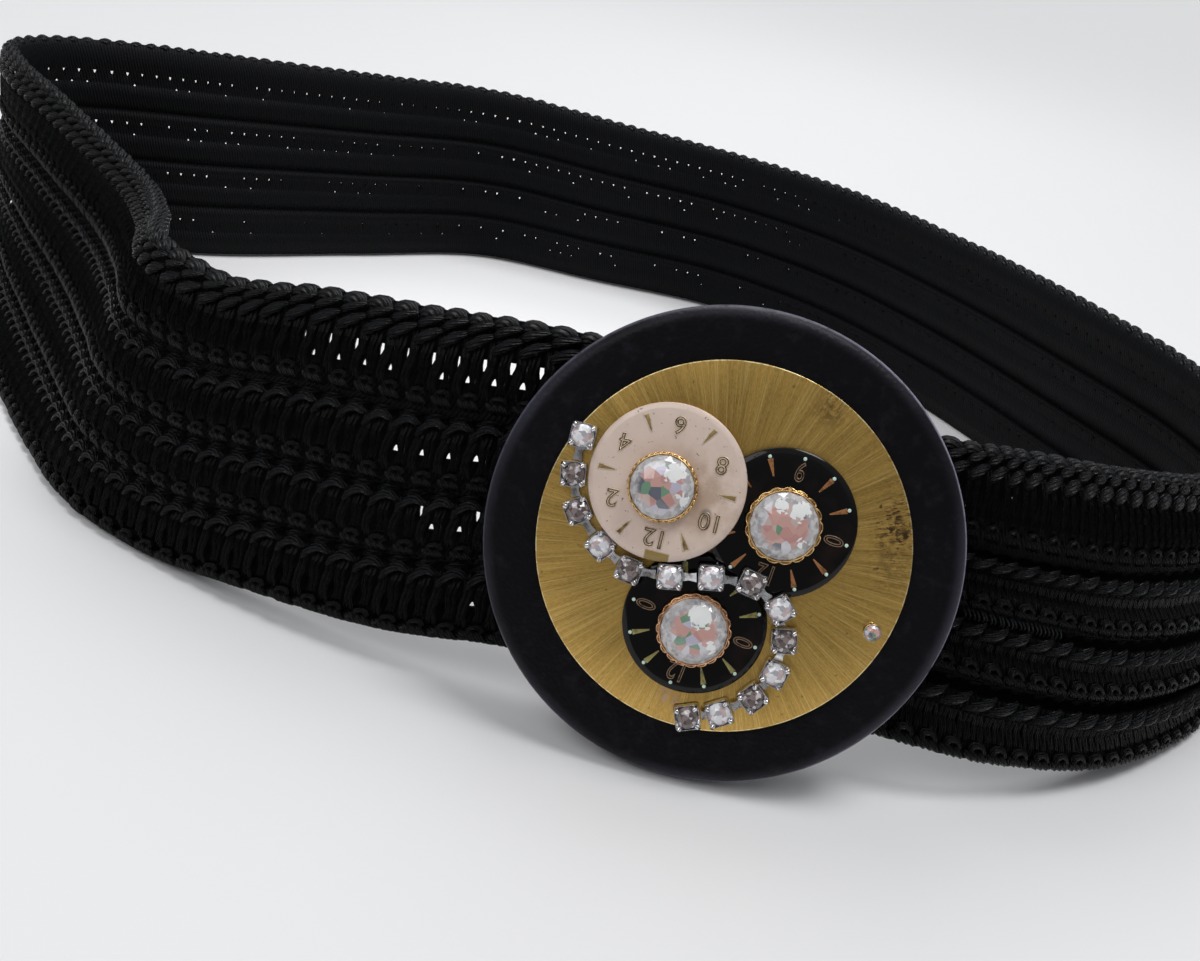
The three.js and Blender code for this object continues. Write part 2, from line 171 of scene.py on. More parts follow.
# The inner face, as a sheet with small openings behind the gaps of the stitches. Its columns are
# shares of a stitch, and its rows hold the lower openings in 3 to 5 and the upper ones in 6 to 8.
# LINING_STAND is how far each row stands out from LINING_DEPTH, in two thin ridges.
LINING_DEPTH, LINING_GATHER = 3.6, 0.3
LINING_THICK = (2.1, 1.6, 0.9, 0.8, 0.8, 0.8, 0.8, 0.8, 0.8, 1.0, 1.6, 2.1)
LINING_STAND = (0.0, 0.5, 1.6, 0.7, 0.5, 0.5, 0.5, 0.6, 0.8, 1.6, 0.7, 0.0)
LINING_COLUMNS = (0.14, 0.36, 0.64, 0.86)
LOW_LINES, HIGH_LINES = (3, 4, 5), (6, 7, 8)
LOW_HALF_HEIGHT, HIGH_HALF_HEIGHT, BACK_SHRINK = 0.65, 1.05, 0.56
# How far the sides of an opening come in, as shares of a stitch: at its point, middle and wide
# end, and more at the back, each side by a little of its own.
POINT_PINCH, MIDDLE_PINCH, WIDE_PINCH, BACK_PINCH, OWN_PINCH = 0.10, 0.04, 0.015, 0.03, 0.035
# An opening leans along the line on which it is looked through: the depth between its two ends,
# the steepest lean, and how squarely the band has to face the eye before it leans at all.
LOOK_DEPTH, STEEPEST_LOOK, LOOK_FADE = 3.1, 0.75, (0.25, 0.5)
# How many of the openings are open on each rib, from the lowest: the upper and lower ones in front,
# as far as front_reach from the band's start, and those of the back. DRAWN_SHUT is the share that
# is shut where the ribs are drawn in.
OPEN = table(
    "front_high front_low back_high back_low front_reach",
    (0.1, 0.6, 0.5, 0.15, 36),
    (0.5, 0.9, 0.6, 0.2, 46),
    (0.15, 1.0, 0.85, 0.3, 57),
    (0.95, 0.95, 0.95, 0.45, 74),
)
BACK_START, BACK_FADE, DRAWN_SHUT = 240.0, 60.0, 0.95

# The medallion, whose frame has X to the right, Y up its face and Z out of it.
MEDALLION_LEAN = math.radians(22)
GAP = 0.3
LEATHER_RADIUS, LEATHER_THICK = 39.0, 7.0
LEATHER_FRONT_ROUND, LEATHER_BACK_ROUND = 2.2, 3.5
SUNRAY_RADIUS, SUNRAY_THICK, SUNRAY_ROUND, SUNRAY_Y = 30.0, 0.6, 0.12, 0.3
DISC_SIDES, DIAL_SIDES = 160, 96
# The patches of tarnish on the brushed disc: their middles, radii and strengths. Each fades out
# over TARNISH_EDGE on both sides of its radius.
TARNISH = table(
    "x y radius strength",
    (11.3, 25.6, 2.7, 0.9),
    (24.8, 16.0, 2.3, 0.7),
    (25.9, 10.0, 3.9, 1.3),
    (26.6, 3.2, 3.3, 0.8),
)
TARNISH_EDGE = 2.5
# Other patches: middle, radius, and how far they fade out on both sides of it.
GLUE_SPOT, TAN_SPOT, BRUISE_SPOT = (-2.4, -25.5, 1.7, 1.2), (5.5, -1.0, 6.2, 4.0), (7.2, -3.4, 0.8, 0.5)
# The bare patch at the lower edge of the white dial: its middle, half its width and its top, both
# with a soft edge.
BARE_MIDDLE, BARE_HALF_WIDTH, BARE_TOP = 1.2, (1.8, 2.1), (-11.2, -10.8)
DECK = LEATHER_THICK / 2 + GAP + SUNRAY_THICK

# The dials: middle, radius, tilt and its bearing in degrees, and how far the twelve is turned
# clockwise from the top.
DIAL_THICK, DIAL_RIM, DIAL_RIM_DROP = 1.0, 1.0, 0.42
DIALS = {
    dial.name: dial
    for dial in table(
        "name x y radius tilt bearing turn",
        ("lower", -1.5, -12.3, 11.6, 0.0, 0.0, 188.0),
        ("right", 8.0, 6.7, 11.9, 3.8, 243.0, 186.0),
        ("white", -11.0, 8.8, 12.6, 7.2, -31.0, 180.0),
    )
}
# The marks: darts as length, width outside and width inside, dots and numbers as their size, and
# where they stand as shares of the dial's radius.
BLACK_DART, WHITE_DART, WHITE_DART_BORDER = (2.8, 0.9, 0.2), (2.7, 0.75, 0.15), (3.1, 1.15, 0.35)
BLACK_DART_AT, WHITE_DART_AT, BORDER_OVER = 0.865, 0.88, 0.15
DART_RISE, BORDER_RISE = 0.14, 0.07
DOT_AT, DOT_RADIUS = 0.895, 0.31
BLACK_NUMBERS = {0: "12", 3: "0", 6: "6", 9: "0"}
BLACK_NUMBER_AT, BLACK_NUMBER_SIZE, BLACK_NUMBER_STRETCH, BLACK_NUMBER_WIRE = 0.715, 3.3, 1.35, 0.08
WHITE_NUMBER_AT, WHITE_NUMBER_SIZE = 0.72, 3.9
# The two wires of a white dial's number, a dark one on a pale one: finish slot, thickness and lift.
WHITE_NUMBER_WIRES = ((2, 0.18, -0.07), (1, 0.12, 0.04))

# The large stones: dial, middle on it, radius and turn in degrees; the scallops of the lace edge,
# their bulge, wire and metal; and each window's glare on the stone, as place and reach.
STONES = table(
    "dial x y radius turn scallops bulge wire metal glares",
    ("white", -0.3, -0.9, 5.1, 20.0, 34, 0.26, 0.11, "lace_gold", ((1.6, 2.7, 1.5), (3.6, -1.2, 0.9))),
    ("right", 0.2, -0.3, 5.4, 140.0, 17, 0.42, 0.14, "lace_gold",
     ((-1.0, 3.0, 1.1), (1.6, 2.7, 1.5), (3.2, -1.8, 0.7))),
    ("lower", 0.1, -0.9, 5.35, 255.0, 20, 0.40, 0.13, "lace_copper", ((0.7, 2.9, 1.9), (3.0, -1.6, 0.7))),
)
STONE_GIRDLE, STONE_CROWN, STONE_TABLE = 0.9, 1.7, 2.2
SETTING_FLOOR, SETTING_HEIGHT = 0.4, 1.7
# The wires round a setting: how far outside the stone, how high and how thick.
SETTING_WIRES = ((0.1, SETTING_HEIGHT - 0.1, 0.11), (0.2, 0.8, 0.18), (0.25, 0.35, 0.24))

# The cups of the chain from its upper end: place on the face and level above the disc.
CUPS = table(
    "x y level",
    (-25.7, 12.8, 0.0),
    (-25.8, 6.5, 0.0),
    (-23.8, 0.9, 0.0),
    (-19.0, -3.7, 0.0),
    (-13.6, -6.2, 1.0),
    (-7.1, -5.6, 1.4),
    (-0.8, -4.0, 2.2),
    (5.5, -3.4, 2.4),
    (10.8, -6.3, 2.2),
    (12.9, -11.5, 0.5),
    (12.8, -17.2, 0.0),
    (10.4, -21.9, 0.0),
    (5.8, -25.7, 0.0),
    (1.0, -27.6, 0.0),
)
MAUVE_CUPS = (2, 3, 5, 8, 10, 12, 14)
LEVEL_HEIGHT = 1.3
CUP_SIDE, CUP_HEIGHT, CUP_FLOOR, CUP_ROUND = 4.1, 1.3, 0.35, 0.45
# A prong from its foot to its tip over the stone: reach, height and radius.
PRONG = (
    (2.42, 0.2, 0.26),
    (2.44, 1.1, 0.27),
    (2.36, 1.65, 0.36),
    (2.14, 1.9, 0.44),
    (1.9, 1.88, 0.40),
    (1.72, 1.7, 0.2),
)
CUP_STONE_RADIUS, CUP_STONE_GIRDLE, CUP_STONE_CROWN, CUP_STONE_POINT = 1.86, 0.6, 0.8, 0.15
CUP_STONE_TURN = 0.7
LINK_WIDTH, LINK_WAIST, LINK_THICK, LINK_RISE = 1.5, 0.72, 0.4, 0.4
LINK_START, LINK_END = CUP_SIDE / 2 - 0.3, CUP_SIDE / 2 + 0.25
RIM_STONE = (26.2, -7.1, 1.35)

# Plated metals: colour, the grime in their patches, and roughness.
METALS = {
    "clasp_steel": ((0.42, 0.42, 0.43), (0.16, 0.15, 0.14), 0.3),
    "copper_marks": ((0.66, 0.30, 0.13), (0.30, 0.14, 0.06), 0.32),
    "olive_marks": ((0.48, 0.42, 0.17), (0.20, 0.18, 0.08), 0.32),
    "gold_marks": ((0.62, 0.40, 0.16), (0.22, 0.12, 0.06), 0.25),
    "number_lines": ((0.52, 0.36, 0.24), (0.18, 0.11, 0.07), 0.3),
    "dark_numbers": ((0.085, 0.055, 0.035), (0.03, 0.02, 0.016), 0.35),
    "pale_borders": ((0.95, 0.86, 0.72), (0.55, 0.46, 0.38), 0.3),
    "lace_gold": ((0.83, 0.55, 0.24), (0.40, 0.20, 0.08), 0.14),
    "lace_copper": ((0.85, 0.50, 0.28), (0.42, 0.20, 0.10), 0.14),
    "rim_silver": ((0.80, 0.80, 0.82), (0.35, 0.33, 0.32), 0.14),
    "cup_silver": ((0.78, 0.78, 0.80), (0.30, 0.28, 0.27), 0.14),
}
# Foiled glass: its clear rim, and the reflections in its middle as stops from 0 to 1.
GLASS_RIM, CLEAR_RIM, MAUVE_RIM = (0.64, 0.62, 0.63), (0.70, 0.70, 0.73), (0.30, 0.235, 0.235)
FOIL = (
    (0.0, (0.54, 0.28, 0.25)),
    (0.22, (0.16, 0.30, 0.19)),
    (0.36, (0.64, 0.64, 0.68)),
    (0.48, (0.60, 0.34, 0.30)),
    (0.64, (0.12, 0.13, 0.16)),
    (0.74, (0.52, 0.48, 0.60)),
    (0.88, (0.57, 0.43, 0.39)),
)
CLEAR_FOIL = (
    (0.0, (0.80, 0.80, 0.83)),
    (0.35, (0.45, 0.44, 0.47)),
    (0.6, (0.92, 0.92, 0.95)),
    (0.8, (0.60, 0.45, 0.45)),
)
MAUVE_FOIL = (
    (0.0, (0.13, 0.095, 0.088)),
    (0.35, (0.25, 0.19, 0.18)),
    (0.62, (0.07, 0.05, 0.048)),
    (0.84, (0.60, 0.55, 0.57)),
)
LARGE_PATCHES, SMALL_PATCHES = 680.0, 1500.0
# How far from a stone's middle the reflections begin to fade, and where the clear rim is full.
FOIL_REACH = (3.1, 4.2)
# Colours of wear, dirt, glue and paint, and of painted highlights and sheen.
GREY_THREAD = (0.05, 0.055, 0.06)
# The leather: its worn rim, a painted highlight along its front rim, and its pale creases.
WORN_RIM, RIM_HIGHLIGHT, PALE_CREASE = (0.030, 0.030, 0.042), (0.27, 0.26, 0.34), (0.022, 0.021, 0.030)
# The painted sheen of the brushed disc's streaks, and the painted highlight along its edge.
SHEEN_STREAK, EDGE_HIGHLIGHT = (1.0, 0.74, 0.28), (1.0, 0.82, 0.45)
OLD_GLUE, DARK_TARNISH = (0.62, 0.40, 0.30), (0.075, 0.045, 0.025)
ENAMEL_BROWN, TAN_STAIN, RUBBED_BRASS = (0.011, 0.005, 0.004), (0.36, 0.22, 0.12), (0.30, 0.20, 0.05)
DARK_SPECK = (0.06, 0.05, 0.05)
LUME_GREEN, LUME_PALE = (0.50, 0.72, 0.60), (0.70, 0.86, 0.76)
WINDOW_GLARE = (0.86, 0.87, 0.86)

# The photograph's camera, in millimetres from the medallion's middle, in degrees, and pixels.
CAMERA_PLACE = (-11.9, -170.3, 135.0)
CAMERA_YAW, CAMERA_PITCH, CAMERA_ROLL = -3.25, 28.34, 12.0
FOCAL_PIXELS, IMAGE_WIDTH, SENSOR_WIDTH = 1200, 1200, 36.0
# The soft suns: the direction that each comes from, its width in degrees and its share of the
# strength. The round lamps, one close above the loop and one far behind it: where they hang in
# the belt's frame, their width and their share of the strength.
SUNS = table(
    "name place width share",
    ("sun_overhead", (0.45, 0.15, 1.5), 24.0, 0.65),
    ("sun_behind", (-0.25, 0.85, 1.4), 24.0, 0.10),
    ("sun_front", (-0.8, -0.6, 1.2), 40.0, 0.40),
)
LAMPS = table(
    "name place width share",
    ("lamp_above", (0, 55, 250), 160, 1.0),
    ("lamp_behind", (60, 520, 520), 300, 2.75),
)
SKY_COLOUR = (0.95, 0.97, 1.0, 1.0)
# The heights between which the sky turns brighter, and how much sooner it does so behind the belt.
SKY_BRIGHTENS, SKY_BEHIND = (0.2, 0.75), 0.15
FLOOR_REACH_METRES = 20.0

rng = np.random.default_rng(SEED)


def shade(name, description, default):
    """A colour that a user may change."""
    return bpy.props.FloatVectorProperty(
        name=name, description=description, subtype="COLOR", size=3, default=default
    )


def amount(name, description, default, **limits):
    """A number that a user may change, from 0 up where no other limits are given."""
    limits.setdefault("min", 0.0)
    return bpy.props.FloatProperty(name=name, description=description, default=default, **limits)


class CordLook(bpy.types.PropertyGroup):
    """Colour and stitch length of the cord band."""

    colour: shade("Cord", "Colour of the cord", (0.0026, 0.0029, 0.0036))
    front_pitch: amount(
        "Front stitch", "Length of a stitch in front, in millimetres", 5.2, min=3.0, max=6.0
    )
    back_pitch: amount(
        "Back stitch", "Length of a stitch at the back, in millimetres", 3.75, min=3.0, max=6.0
    )
    right_pitch: amount(
        "Right stitch", "Length of a stitch right of the medallion, in millimetres", 4.8, min=3.0, max=6.0
    )


class MedallionLook(bpy.types.PropertyGroup):
    """Colours of the medallion."""

    leather: shade("Leather", "Colour of the leather", (0.0022, 0.0021, 0.0032))
    brass: shade("Brushed disc", "Colour of the brushed disc", (0.78, 0.49, 0.135))
    white_dial: shade("White dial", "Colour of the pale dial", (0.73, 0.58, 0.495))
    black_dial: shade("Black dials", "Colour of the black dials", (0.0014, 0.0010, 0.0010))


class StudioLook(bpy.types.PropertyGroup):
    """Floor and lights."""

    floor: shade("Floor", "Colour of the floor", (0.80, 0.80, 0.81))
    sun: amount("Sun", "Strength of the soft light from overhead", 1.85)
    sky: amount("Sky", "Strength of the even light from above", 0.40)
    lamp: amount("Lamp", "Strength of the round lamp close above the loop, in watts", 0.20)
    walls: amount("Walls", "Strength of the light from low down all round", 0.20)


# Shader maths


class Wire:
    """A node's output, on which + - * / and ** add Math nodes."""

    def __init__(self, finish, socket):
        self.finish, self.socket = finish, socket

    def __add__(self, other):
        return self.finish.maths("ADD", self, other)

    def __sub__(self, other):
        return self.finish.maths("SUBTRACT", self, other)

    def __rsub__(self, other):
        return self.finish.maths("SUBTRACT", other, self)

    def __mul__(self, other):
        return self.finish.maths("MULTIPLY", self, other)

    def __truediv__(self, other):
        return self.finish.maths("DIVIDE", self, other)

    def __pow__(self, other):
        return self.finish.maths("POWER", self, other)

    __radd__ = __add__
    __rmul__ = __mul__


class Nodes:
    """A node tree, with short ways to add its nodes."""

    def __init__(self, tree):
        self.tree = tree

    def feed(self, socket, value):
        if isinstance(value, Wire):
            self.tree.links.new(value.socket, socket)
        elif hasattr(socket.default_value, "__len__") and len(socket.default_value) == 4:
            socket.default_value = (*tuple(value)[:3], 1.0)
        else:
            socket.default_value = value

    def node(self, kind, settings=None, inputs=None, output=0):
        made = self.tree.nodes.new("ShaderNode" + kind)
        for name, value in (settings or {}).items():
            if name == "stops":
                self.set_stops(made.color_ramp, value)
            else:
                setattr(made, name, value)
        for name, value in (inputs or {}).items():
            self.feed(made.inputs[name], value)
        return Wire(self, made.outputs[output])

    def set_stops(self, ramp, stops):
        while len(ramp.elements) < len(stops):
            ramp.elements.new(1.0)
        for element, (at, colour) in zip(ramp.elements, stops):
            element.position = at
            element.color = (*colour, 1.0)

    def maths(self, operation, one, other=0.0):
        return self.node("Math", {"operation": operation}, {0: one, 1: other})

    def mix(self, amount, one, other):
        return self.node("Mix", {"data_type": "RGBA"}, {0: amount, 6: one, 7: other}, output=2)

    def step(self, value, low, high):
        """0 below low and 1 above high, with a soft rise between them."""
        return self.node(
            "MapRange", {"interpolation_type": "SMOOTHSTEP"}, {0: value, 1: low, 2: high}
        )

    def beyond(self, length, low, high):
        """The same rise for a length on the piece, between two sizes in millimetres."""
        return self.step(length, low * MM, high * MM)

    def ramp(self, value, stops, interpolation="LINEAR"):
        wire = self.node("ValToRGB", {"stops": stops}, {0: value})
        wire.socket.node.color_ramp.interpolation = interpolation
        return wire

    def place(self):
        """The point on the piece, in its own frame."""
        return self.node("TexCoord", output="Object")

    def parts(self, vector):
        split = self.node("SeparateXYZ", inputs={0: vector}).socket.node
        return [Wire(self, out) for out in split.outputs]

    def length(self, x, y):
        """The length of an arrow from its two parts."""
        return (x * x + y * y) ** 0.5

    def vector(self, x, y, z):
        return self.node("CombineXYZ", inputs={0: x, 1: y, 2: z})

    def noise(self, vector, scale, detail=2.0, roughness=0.5):
        sockets = {"Vector": vector, "Scale": scale, "Detail": detail, "Roughness": roughness}
        return self.node("TexNoise", inputs=sockets)

    def cells(self, vector, scale, feature="F1", output="Distance"):
        sockets = {"Vector": vector, "Scale": scale}
        return self.node("TexVoronoi", {"feature": feature}, sockets, output)

    def spot(self, vector, x, y, radius, edge):
        """1 inside a round patch of the piece, 0 outside it, from its sizes in millimetres."""
        centre = (x * MM, y * MM, 0.0)
        offset = self.node("VectorMath", {"operation": "DISTANCE"}, {0: vector, 1: centre}, "Value")
        return 1 - self.beyond(offset, radius - edge, radius + edge)

    def bump(self, height, distance, strength=1.0):
        sockets = {"Height": height, "Distance": distance, "Strength": strength}
        return self.node("Bump", inputs=sockets)


class Finish(Nodes):
    """A material in the making. Constants go straight onto the shader's own sockets."""

    def __init__(self, name, **constants):
        self.material = bpy.data.materials.new(name)
        self.material.use_nodes = True
        super().__init__(self.material.node_tree)
        self.surface = self.tree.nodes["Principled BSDF"]
        for socket, value in constants.items():
            title = socket.replace("_", " ").title().replace("Ior", "IOR")
            self.surface.inputs[title].default_value = value

    def wear(self, **links):
        """Links what changes over the surface to the shader."""
        for name, value in links.items():
            self.feed(self.surface.inputs[name.replace("_", " ").title()], value)
        return self.material


# Finishes


def tinted(colour, gain, lift=0.0):
    """A colour made darker, paler or greyer."""
    return tuple(gain * c + lift for c in colour)


def cord_finish(colour):
    """Glossy black cord made of fine twisted strands."""
    finish = Finish("cord_strands", specular_ior_level=0.16)
    strand = finish.node("Attribute", {"attribute_name": "strand"}, output="Vector")
    along, around, unit = finish.parts(strand)
    twist = finish.maths("SINE", (around * 9 + along * 0.45) * math.tau)
    fibres = finish.noise(finish.vector(along * 1.2, around * 40, unit * 30), 1.0, 3.0)
    return finish.wear(
        base_color=finish.mix(finish.step(fibres, 0.35, 0.75), colour, tinted(colour, 2.2, 0.004)),
        roughness=finish.step(fibres, 0.2, 0.9) * 0.2 + 0.2,
        normal=finish.bump(twist * 0.6 + fibres * 0.5, 0.00025, 1.0),
    )


def lining_finish(colour):
    """The inner face, in fine upright strands."""
    finish = Finish("cord_lining", specular_ior_level=0.11)
    strand = finish.node("Attribute", {"attribute_name": "strand"}, output="Vector")
    along, across, _ = finish.parts(strand)
    lean = along * 5 + across * 1.1
    strands = finish.maths("ABSOLUTE", finish.maths("SINE", lean * math.pi))
    fibres = finish.noise(finish.vector(along * 14, across * 9, 0.0), 1.0, 3.0)
    return finish.wear(
        base_color=finish.mix(finish.step(fibres, 0.3, 0.8), colour, tinted(colour, 2.0, 0.0035)),
        roughness=fibres * 0.2 + 0.45,
        normal=finish.bump(strands * 0.7 + fibres * 0.4, 0.0003, 0.9),
    )


def leather_finish(colour):
    """Matt fine-grained leather, a little worn round its rim, with a painted highlight along its front rim
    that is stronger at the right.
    """
    finish = Finish("leather_grain", specular_ior_level=0.12)
    place = finish.place()
    x, y, z = finish.parts(place)
    radius = finish.length(x, y)
    outer = LEATHER_RADIUS
    pores = finish.cells(place, 1600.0, "SMOOTH_F1")
    creases = finish.noise(place, 420.0, 4.0, 0.6)
    cloud = finish.noise(place, 45.0, 3.0)
    rim = finish.beyond(radius, outer - 2.8, outer - 0.4) * finish.step(cloud, 0.25, 0.7)
    # Painted highlight: a pale line along the front rim, stronger at the right and broken by the creases.
    rim_highlight = finish.beyond(radius, outer - 0.6, outer - 0.2) * finish.beyond(z, 0.4, 1.1)
    rim_highlight = rim_highlight * (finish.beyond(x, -5.0, 30.0) * 0.75 + 0.25) * finish.step(creases, 0.25, 0.5)
    worn_and_highlight = finish.mix(rim_highlight, finish.mix(rim, colour, WORN_RIM), RIM_HIGHLIGHT)
    return finish.wear(
        base_color=finish.mix(finish.step(creases, 0.5, 0.8) * 0.35, worn_and_highlight, PALE_CREASE),
        roughness=0.40 + cloud * 0.12 - rim * 0.12,
        normal=finish.bump(pores * 0.8 + creases * 0.8, 0.00012, 0.8),
    )


def sunray_finish(colour):
    """Brass brushed outwards from its middle in painted sheen: light and dark streaks and a painted edge
    highlight, with dark tarnish at the right.
    """
    finish = Finish("sunray_brass", metallic=1.0)
    place = finish.place()
    x, y, _ = finish.parts(place)
    radius = finish.length(x, y)
    turn = finish.maths("ARCTAN2", y, x)

    def streaks(around, outwards, shift, detail, roughness=0.5):
        """Noise in streaks that run outwards from the middle."""
        spread = finish.vector(turn * around, radius * outwards, shift)
        return finish.noise(spread, 1.0, detail, roughness)

    strokes = streaks(34, 60, 0.0, 6.0, 0.75)
    fine = streaks(150, 1300, 0.0, 3.0, 0.7)
    # Painted sheen: the light and dark streaks that the brushing shows under light are painted into the
    # colour, wide ones and fine ones.
    sheen_fan = finish.step(strokes, 0.30, 0.62)
    painted_sheen = sheen_fan * 0.4 + finish.step(fine, 0.35, 0.68) * 0.45
    painted_sheen = painted_sheen + finish.step(streaks(3, 40, 5.0, 2.0), 0.3, 0.7) * 0.15
    lines = finish.step(streaks(110, 60, 9.0, 2.0), 0.52, 0.68)
    brushed_sheen = finish.mix(lines * 0.40, finish.mix(painted_sheen, tinted(colour, 0.55), colour), SHEEN_STREAK)
    speckle = finish.noise(place, 900.0, 3.0, 0.7)
    outer = SUNRAY_RADIUS
    # A painted highlight along the disc's edge, broken by the speckle.
    edge = finish.beyond(radius, outer - 0.25, outer - 0.15) * finish.step(speckle, 0.35, 0.6)
    brushed_sheen = finish.mix(edge, brushed_sheen, EDGE_HIGHLIGHT)
    glue = finish.spot(place, *GLUE_SPOT)
    brushed_sheen = finish.mix(glue * finish.step(speckle, 0.45, 0.6) * 0.8, brushed_sheen, OLD_GLUE)
    stains = 0.0
    for stain in TARNISH:
        patch = finish.spot(place, stain.x, stain.y, stain.radius, TARNISH_EDGE)
        stains = stains + patch * stain.strength
    cloud = finish.step(finish.noise(place, 130.0, 3.0, 0.6), 0.50, 0.62)
    stains = stains * finish.maths("MAXIMUM", finish.step(streaks(70, 420, 3.0, 3.0, 0.7), 0.44, 0.58), cloud)
    stains = stains * finish.step(speckle, 0.34, 0.52)
    specks = finish.step(finish.noise(place, 520.0, 2.0), 0.70, 0.76)
    tarnish = finish.maths("MINIMUM", stains * 0.85 + specks * 0.5, 1.0)
    return finish.wear(
        base_color=finish.mix(tarnish, brushed_sheen, DARK_TARNISH),
        roughness=0.30 + sheen_fan * 0.08 + tarnish * 0.25,
        normal=finish.bump(strokes * 0.7 + fine * 0.5, 0.00004, 0.7),
    )


def black_dial_finish(colour):
    """Glossy black enamel with a trace of brown, lightly scuffed."""
    finish = Finish("black_enamel", coat_roughness=0.04, specular_ior_level=0.12)
    place = finish.place()
    cloud = finish.noise(place, 160.0, 3.0)
    scuffs = finish.step(finish.noise(place, 1500.0, 2.0), 0.68, 0.78)
    return finish.wear(
        base_color=finish.mix(finish.step(cloud, 0.50, 0.78), colour, ENAMEL_BROWN),
        roughness=0.12 + cloud * 0.05 + scuffs * 0.25,
        coat_weight=0.35 - scuffs * 0.3,
        normal=finish.bump(cloud, 0.00003, 0.3),
    )


def white_dial_finish(colour):
    """Pinkish satin white with dark specks, a tan stain on its right and a bare patch at its edge."""
    finish = Finish("white_satin", specular_ior_level=0.5, coat_roughness=0.2)
    place = finish.place()
    x, y, _ = finish.parts(place)
    cloud = finish.noise(place, 220.0, 4.0, 0.6)
    dust = finish.noise(place, 1400.0, 3.0, 0.6)
    specks = finish.step(dust, 0.66, 0.72) * 0.8
    stain = finish.spot(place, *TAN_SPOT) * finish.step(cloud, 0.35, 0.65)
    bruise = finish.spot(place, *BRUISE_SPOT)
    aged = finish.mix(finish.step(cloud, 0.3, 0.8) * 0.5, colour, tinted(colour, 0.80))
    aged = finish.mix(stain * 0.55, aged, TAN_STAIN)
    bare = 1 - finish.beyond(finish.maths("ABSOLUTE", x - BARE_MIDDLE * MM), *BARE_HALF_WIDTH)
    bare = bare * (1 - finish.beyond(y, *BARE_TOP))
    aged = finish.mix(bare, aged, RUBBED_BRASS)
    return finish.wear(
        base_color=finish.mix(finish.maths("MAXIMUM", specks, bruise), aged, DARK_SPECK),
        roughness=0.30 + cloud * 0.15 + specks * 0.2,
        coat_weight=0.25,
        normal=finish.bump(dust, 0.00003, 0.5),
    )


def metal_finish(name):
    """Plated metal with patches of grime and fine scratches."""
    colour, grime, roughness = METALS[name]
    finish = Finish(name, metallic=1.0)
    place = finish.place()
    cloud = finish.noise(place, 700.0, 3.0, 0.6)
    drawn_out = finish.node("VectorMath", {"operation": "MULTIPLY"}, {0: place, 1: (1, 6, 2)})
    scratches = finish.noise(drawn_out, 900.0, 2.0)
    return finish.wear(
        base_color=finish.mix(finish.step(cloud, 0.48, 0.72), colour, grime),
        roughness=roughness + cloud * 0.18,
        normal=finish.bump(scratches, 0.00003, 0.5),
    )


def lume_finish():
    """Pale green paint of the dots."""
    finish = Finish("lume_paint", roughness=0.5)
    grain = finish.noise(finish.place(), 2500.0, 2.0)
    return finish.wear(
        base_color=finish.mix(grain, LUME_GREEN, LUME_PALE),
        normal=finish.bump(grain, 0.00005, 0.6),
    )


def stone_finish(name, clear, spread, foil, shift=(0, 0, 0), glares=()):
    """Foiled glass, clear at its rim, with patches of reflected colour and glare in its middle."""
    finish = Finish(name, ior=1.6, specular_ior_level=0.7, coat_roughness=0.02)
    place = finish.place()
    x, y, _ = finish.parts(place)
    moved = finish.node("VectorMath", {"operation": "ADD"}, {0: place, 1: shift})
    patch = finish.parts(finish.cells(moved, spread, "F1", "Color"))[0]
    flash = finish.parts(finish.cells(moved, spread * 2.1, "F1", "Color"))
    rim = finish.mix(flash[1], clear, tinted(clear, 0.5))
    middle = 1 - finish.beyond(finish.length(x, y), *FOIL_REACH)
    glass = finish.mix(middle, rim, finish.ramp(patch, foil, "CONSTANT"))
    for glare_x, glare_y, reach in glares:
        edge = finish.length(x - glare_x * MM, y - glare_y * MM) + (flash[2] - 0.5) * 0.0012
        glare = 1 - finish.beyond(edge, reach * 0.9, reach)
        glass = finish.mix(glare, glass, WINDOW_GLARE)
    return finish.wear(
        base_color=glass,
        roughness=flash[2] * 0.10 + 0.05,
        coat_weight=1.0,
        normal=finish.bump(patch, 0.0002, 0.5),
    )


def floor_finish(colour):
    """Smooth pale paper."""
    finish = Finish("pale_floor", specular_ior_level=0.2)
    grain = finish.noise(finish.place(), 60.0, 4.0)
    return finish.wear(
        base_color=finish.mix(grain * 0.25, colour, tinted(colour, 0.97)),
        roughness=0.62 + grain * 0.1,
    )


# Meshes


def tube_faces(rings, sides, closed=False):
    """Faces of rings of points joined in order; the points of the two poles follow the last ring."""
    i, j = np.arange(rings if closed else rings - 1)[:, None], np.arange(sides)[None]
    after, beside = (i + 1) % rings, (j + 1) % sides
    quads = np.stack([i * sides + j, after * sides + j, after * sides + beside, i * sides + beside], -1)
    if closed:
        return [quads.reshape(-1, 4)]
    turn, last = np.arange(sides), (rings - 1) * sides
    turned, pole = np.roll(turn, -1), np.full(sides, rings * sides)
    first_end = np.stack([pole, turn, turned], -1)
    other_end = np.stack([pole + 1, last + turned, last + turn], -1)
    return [quads.reshape(-1, 4), first_end, other_end]


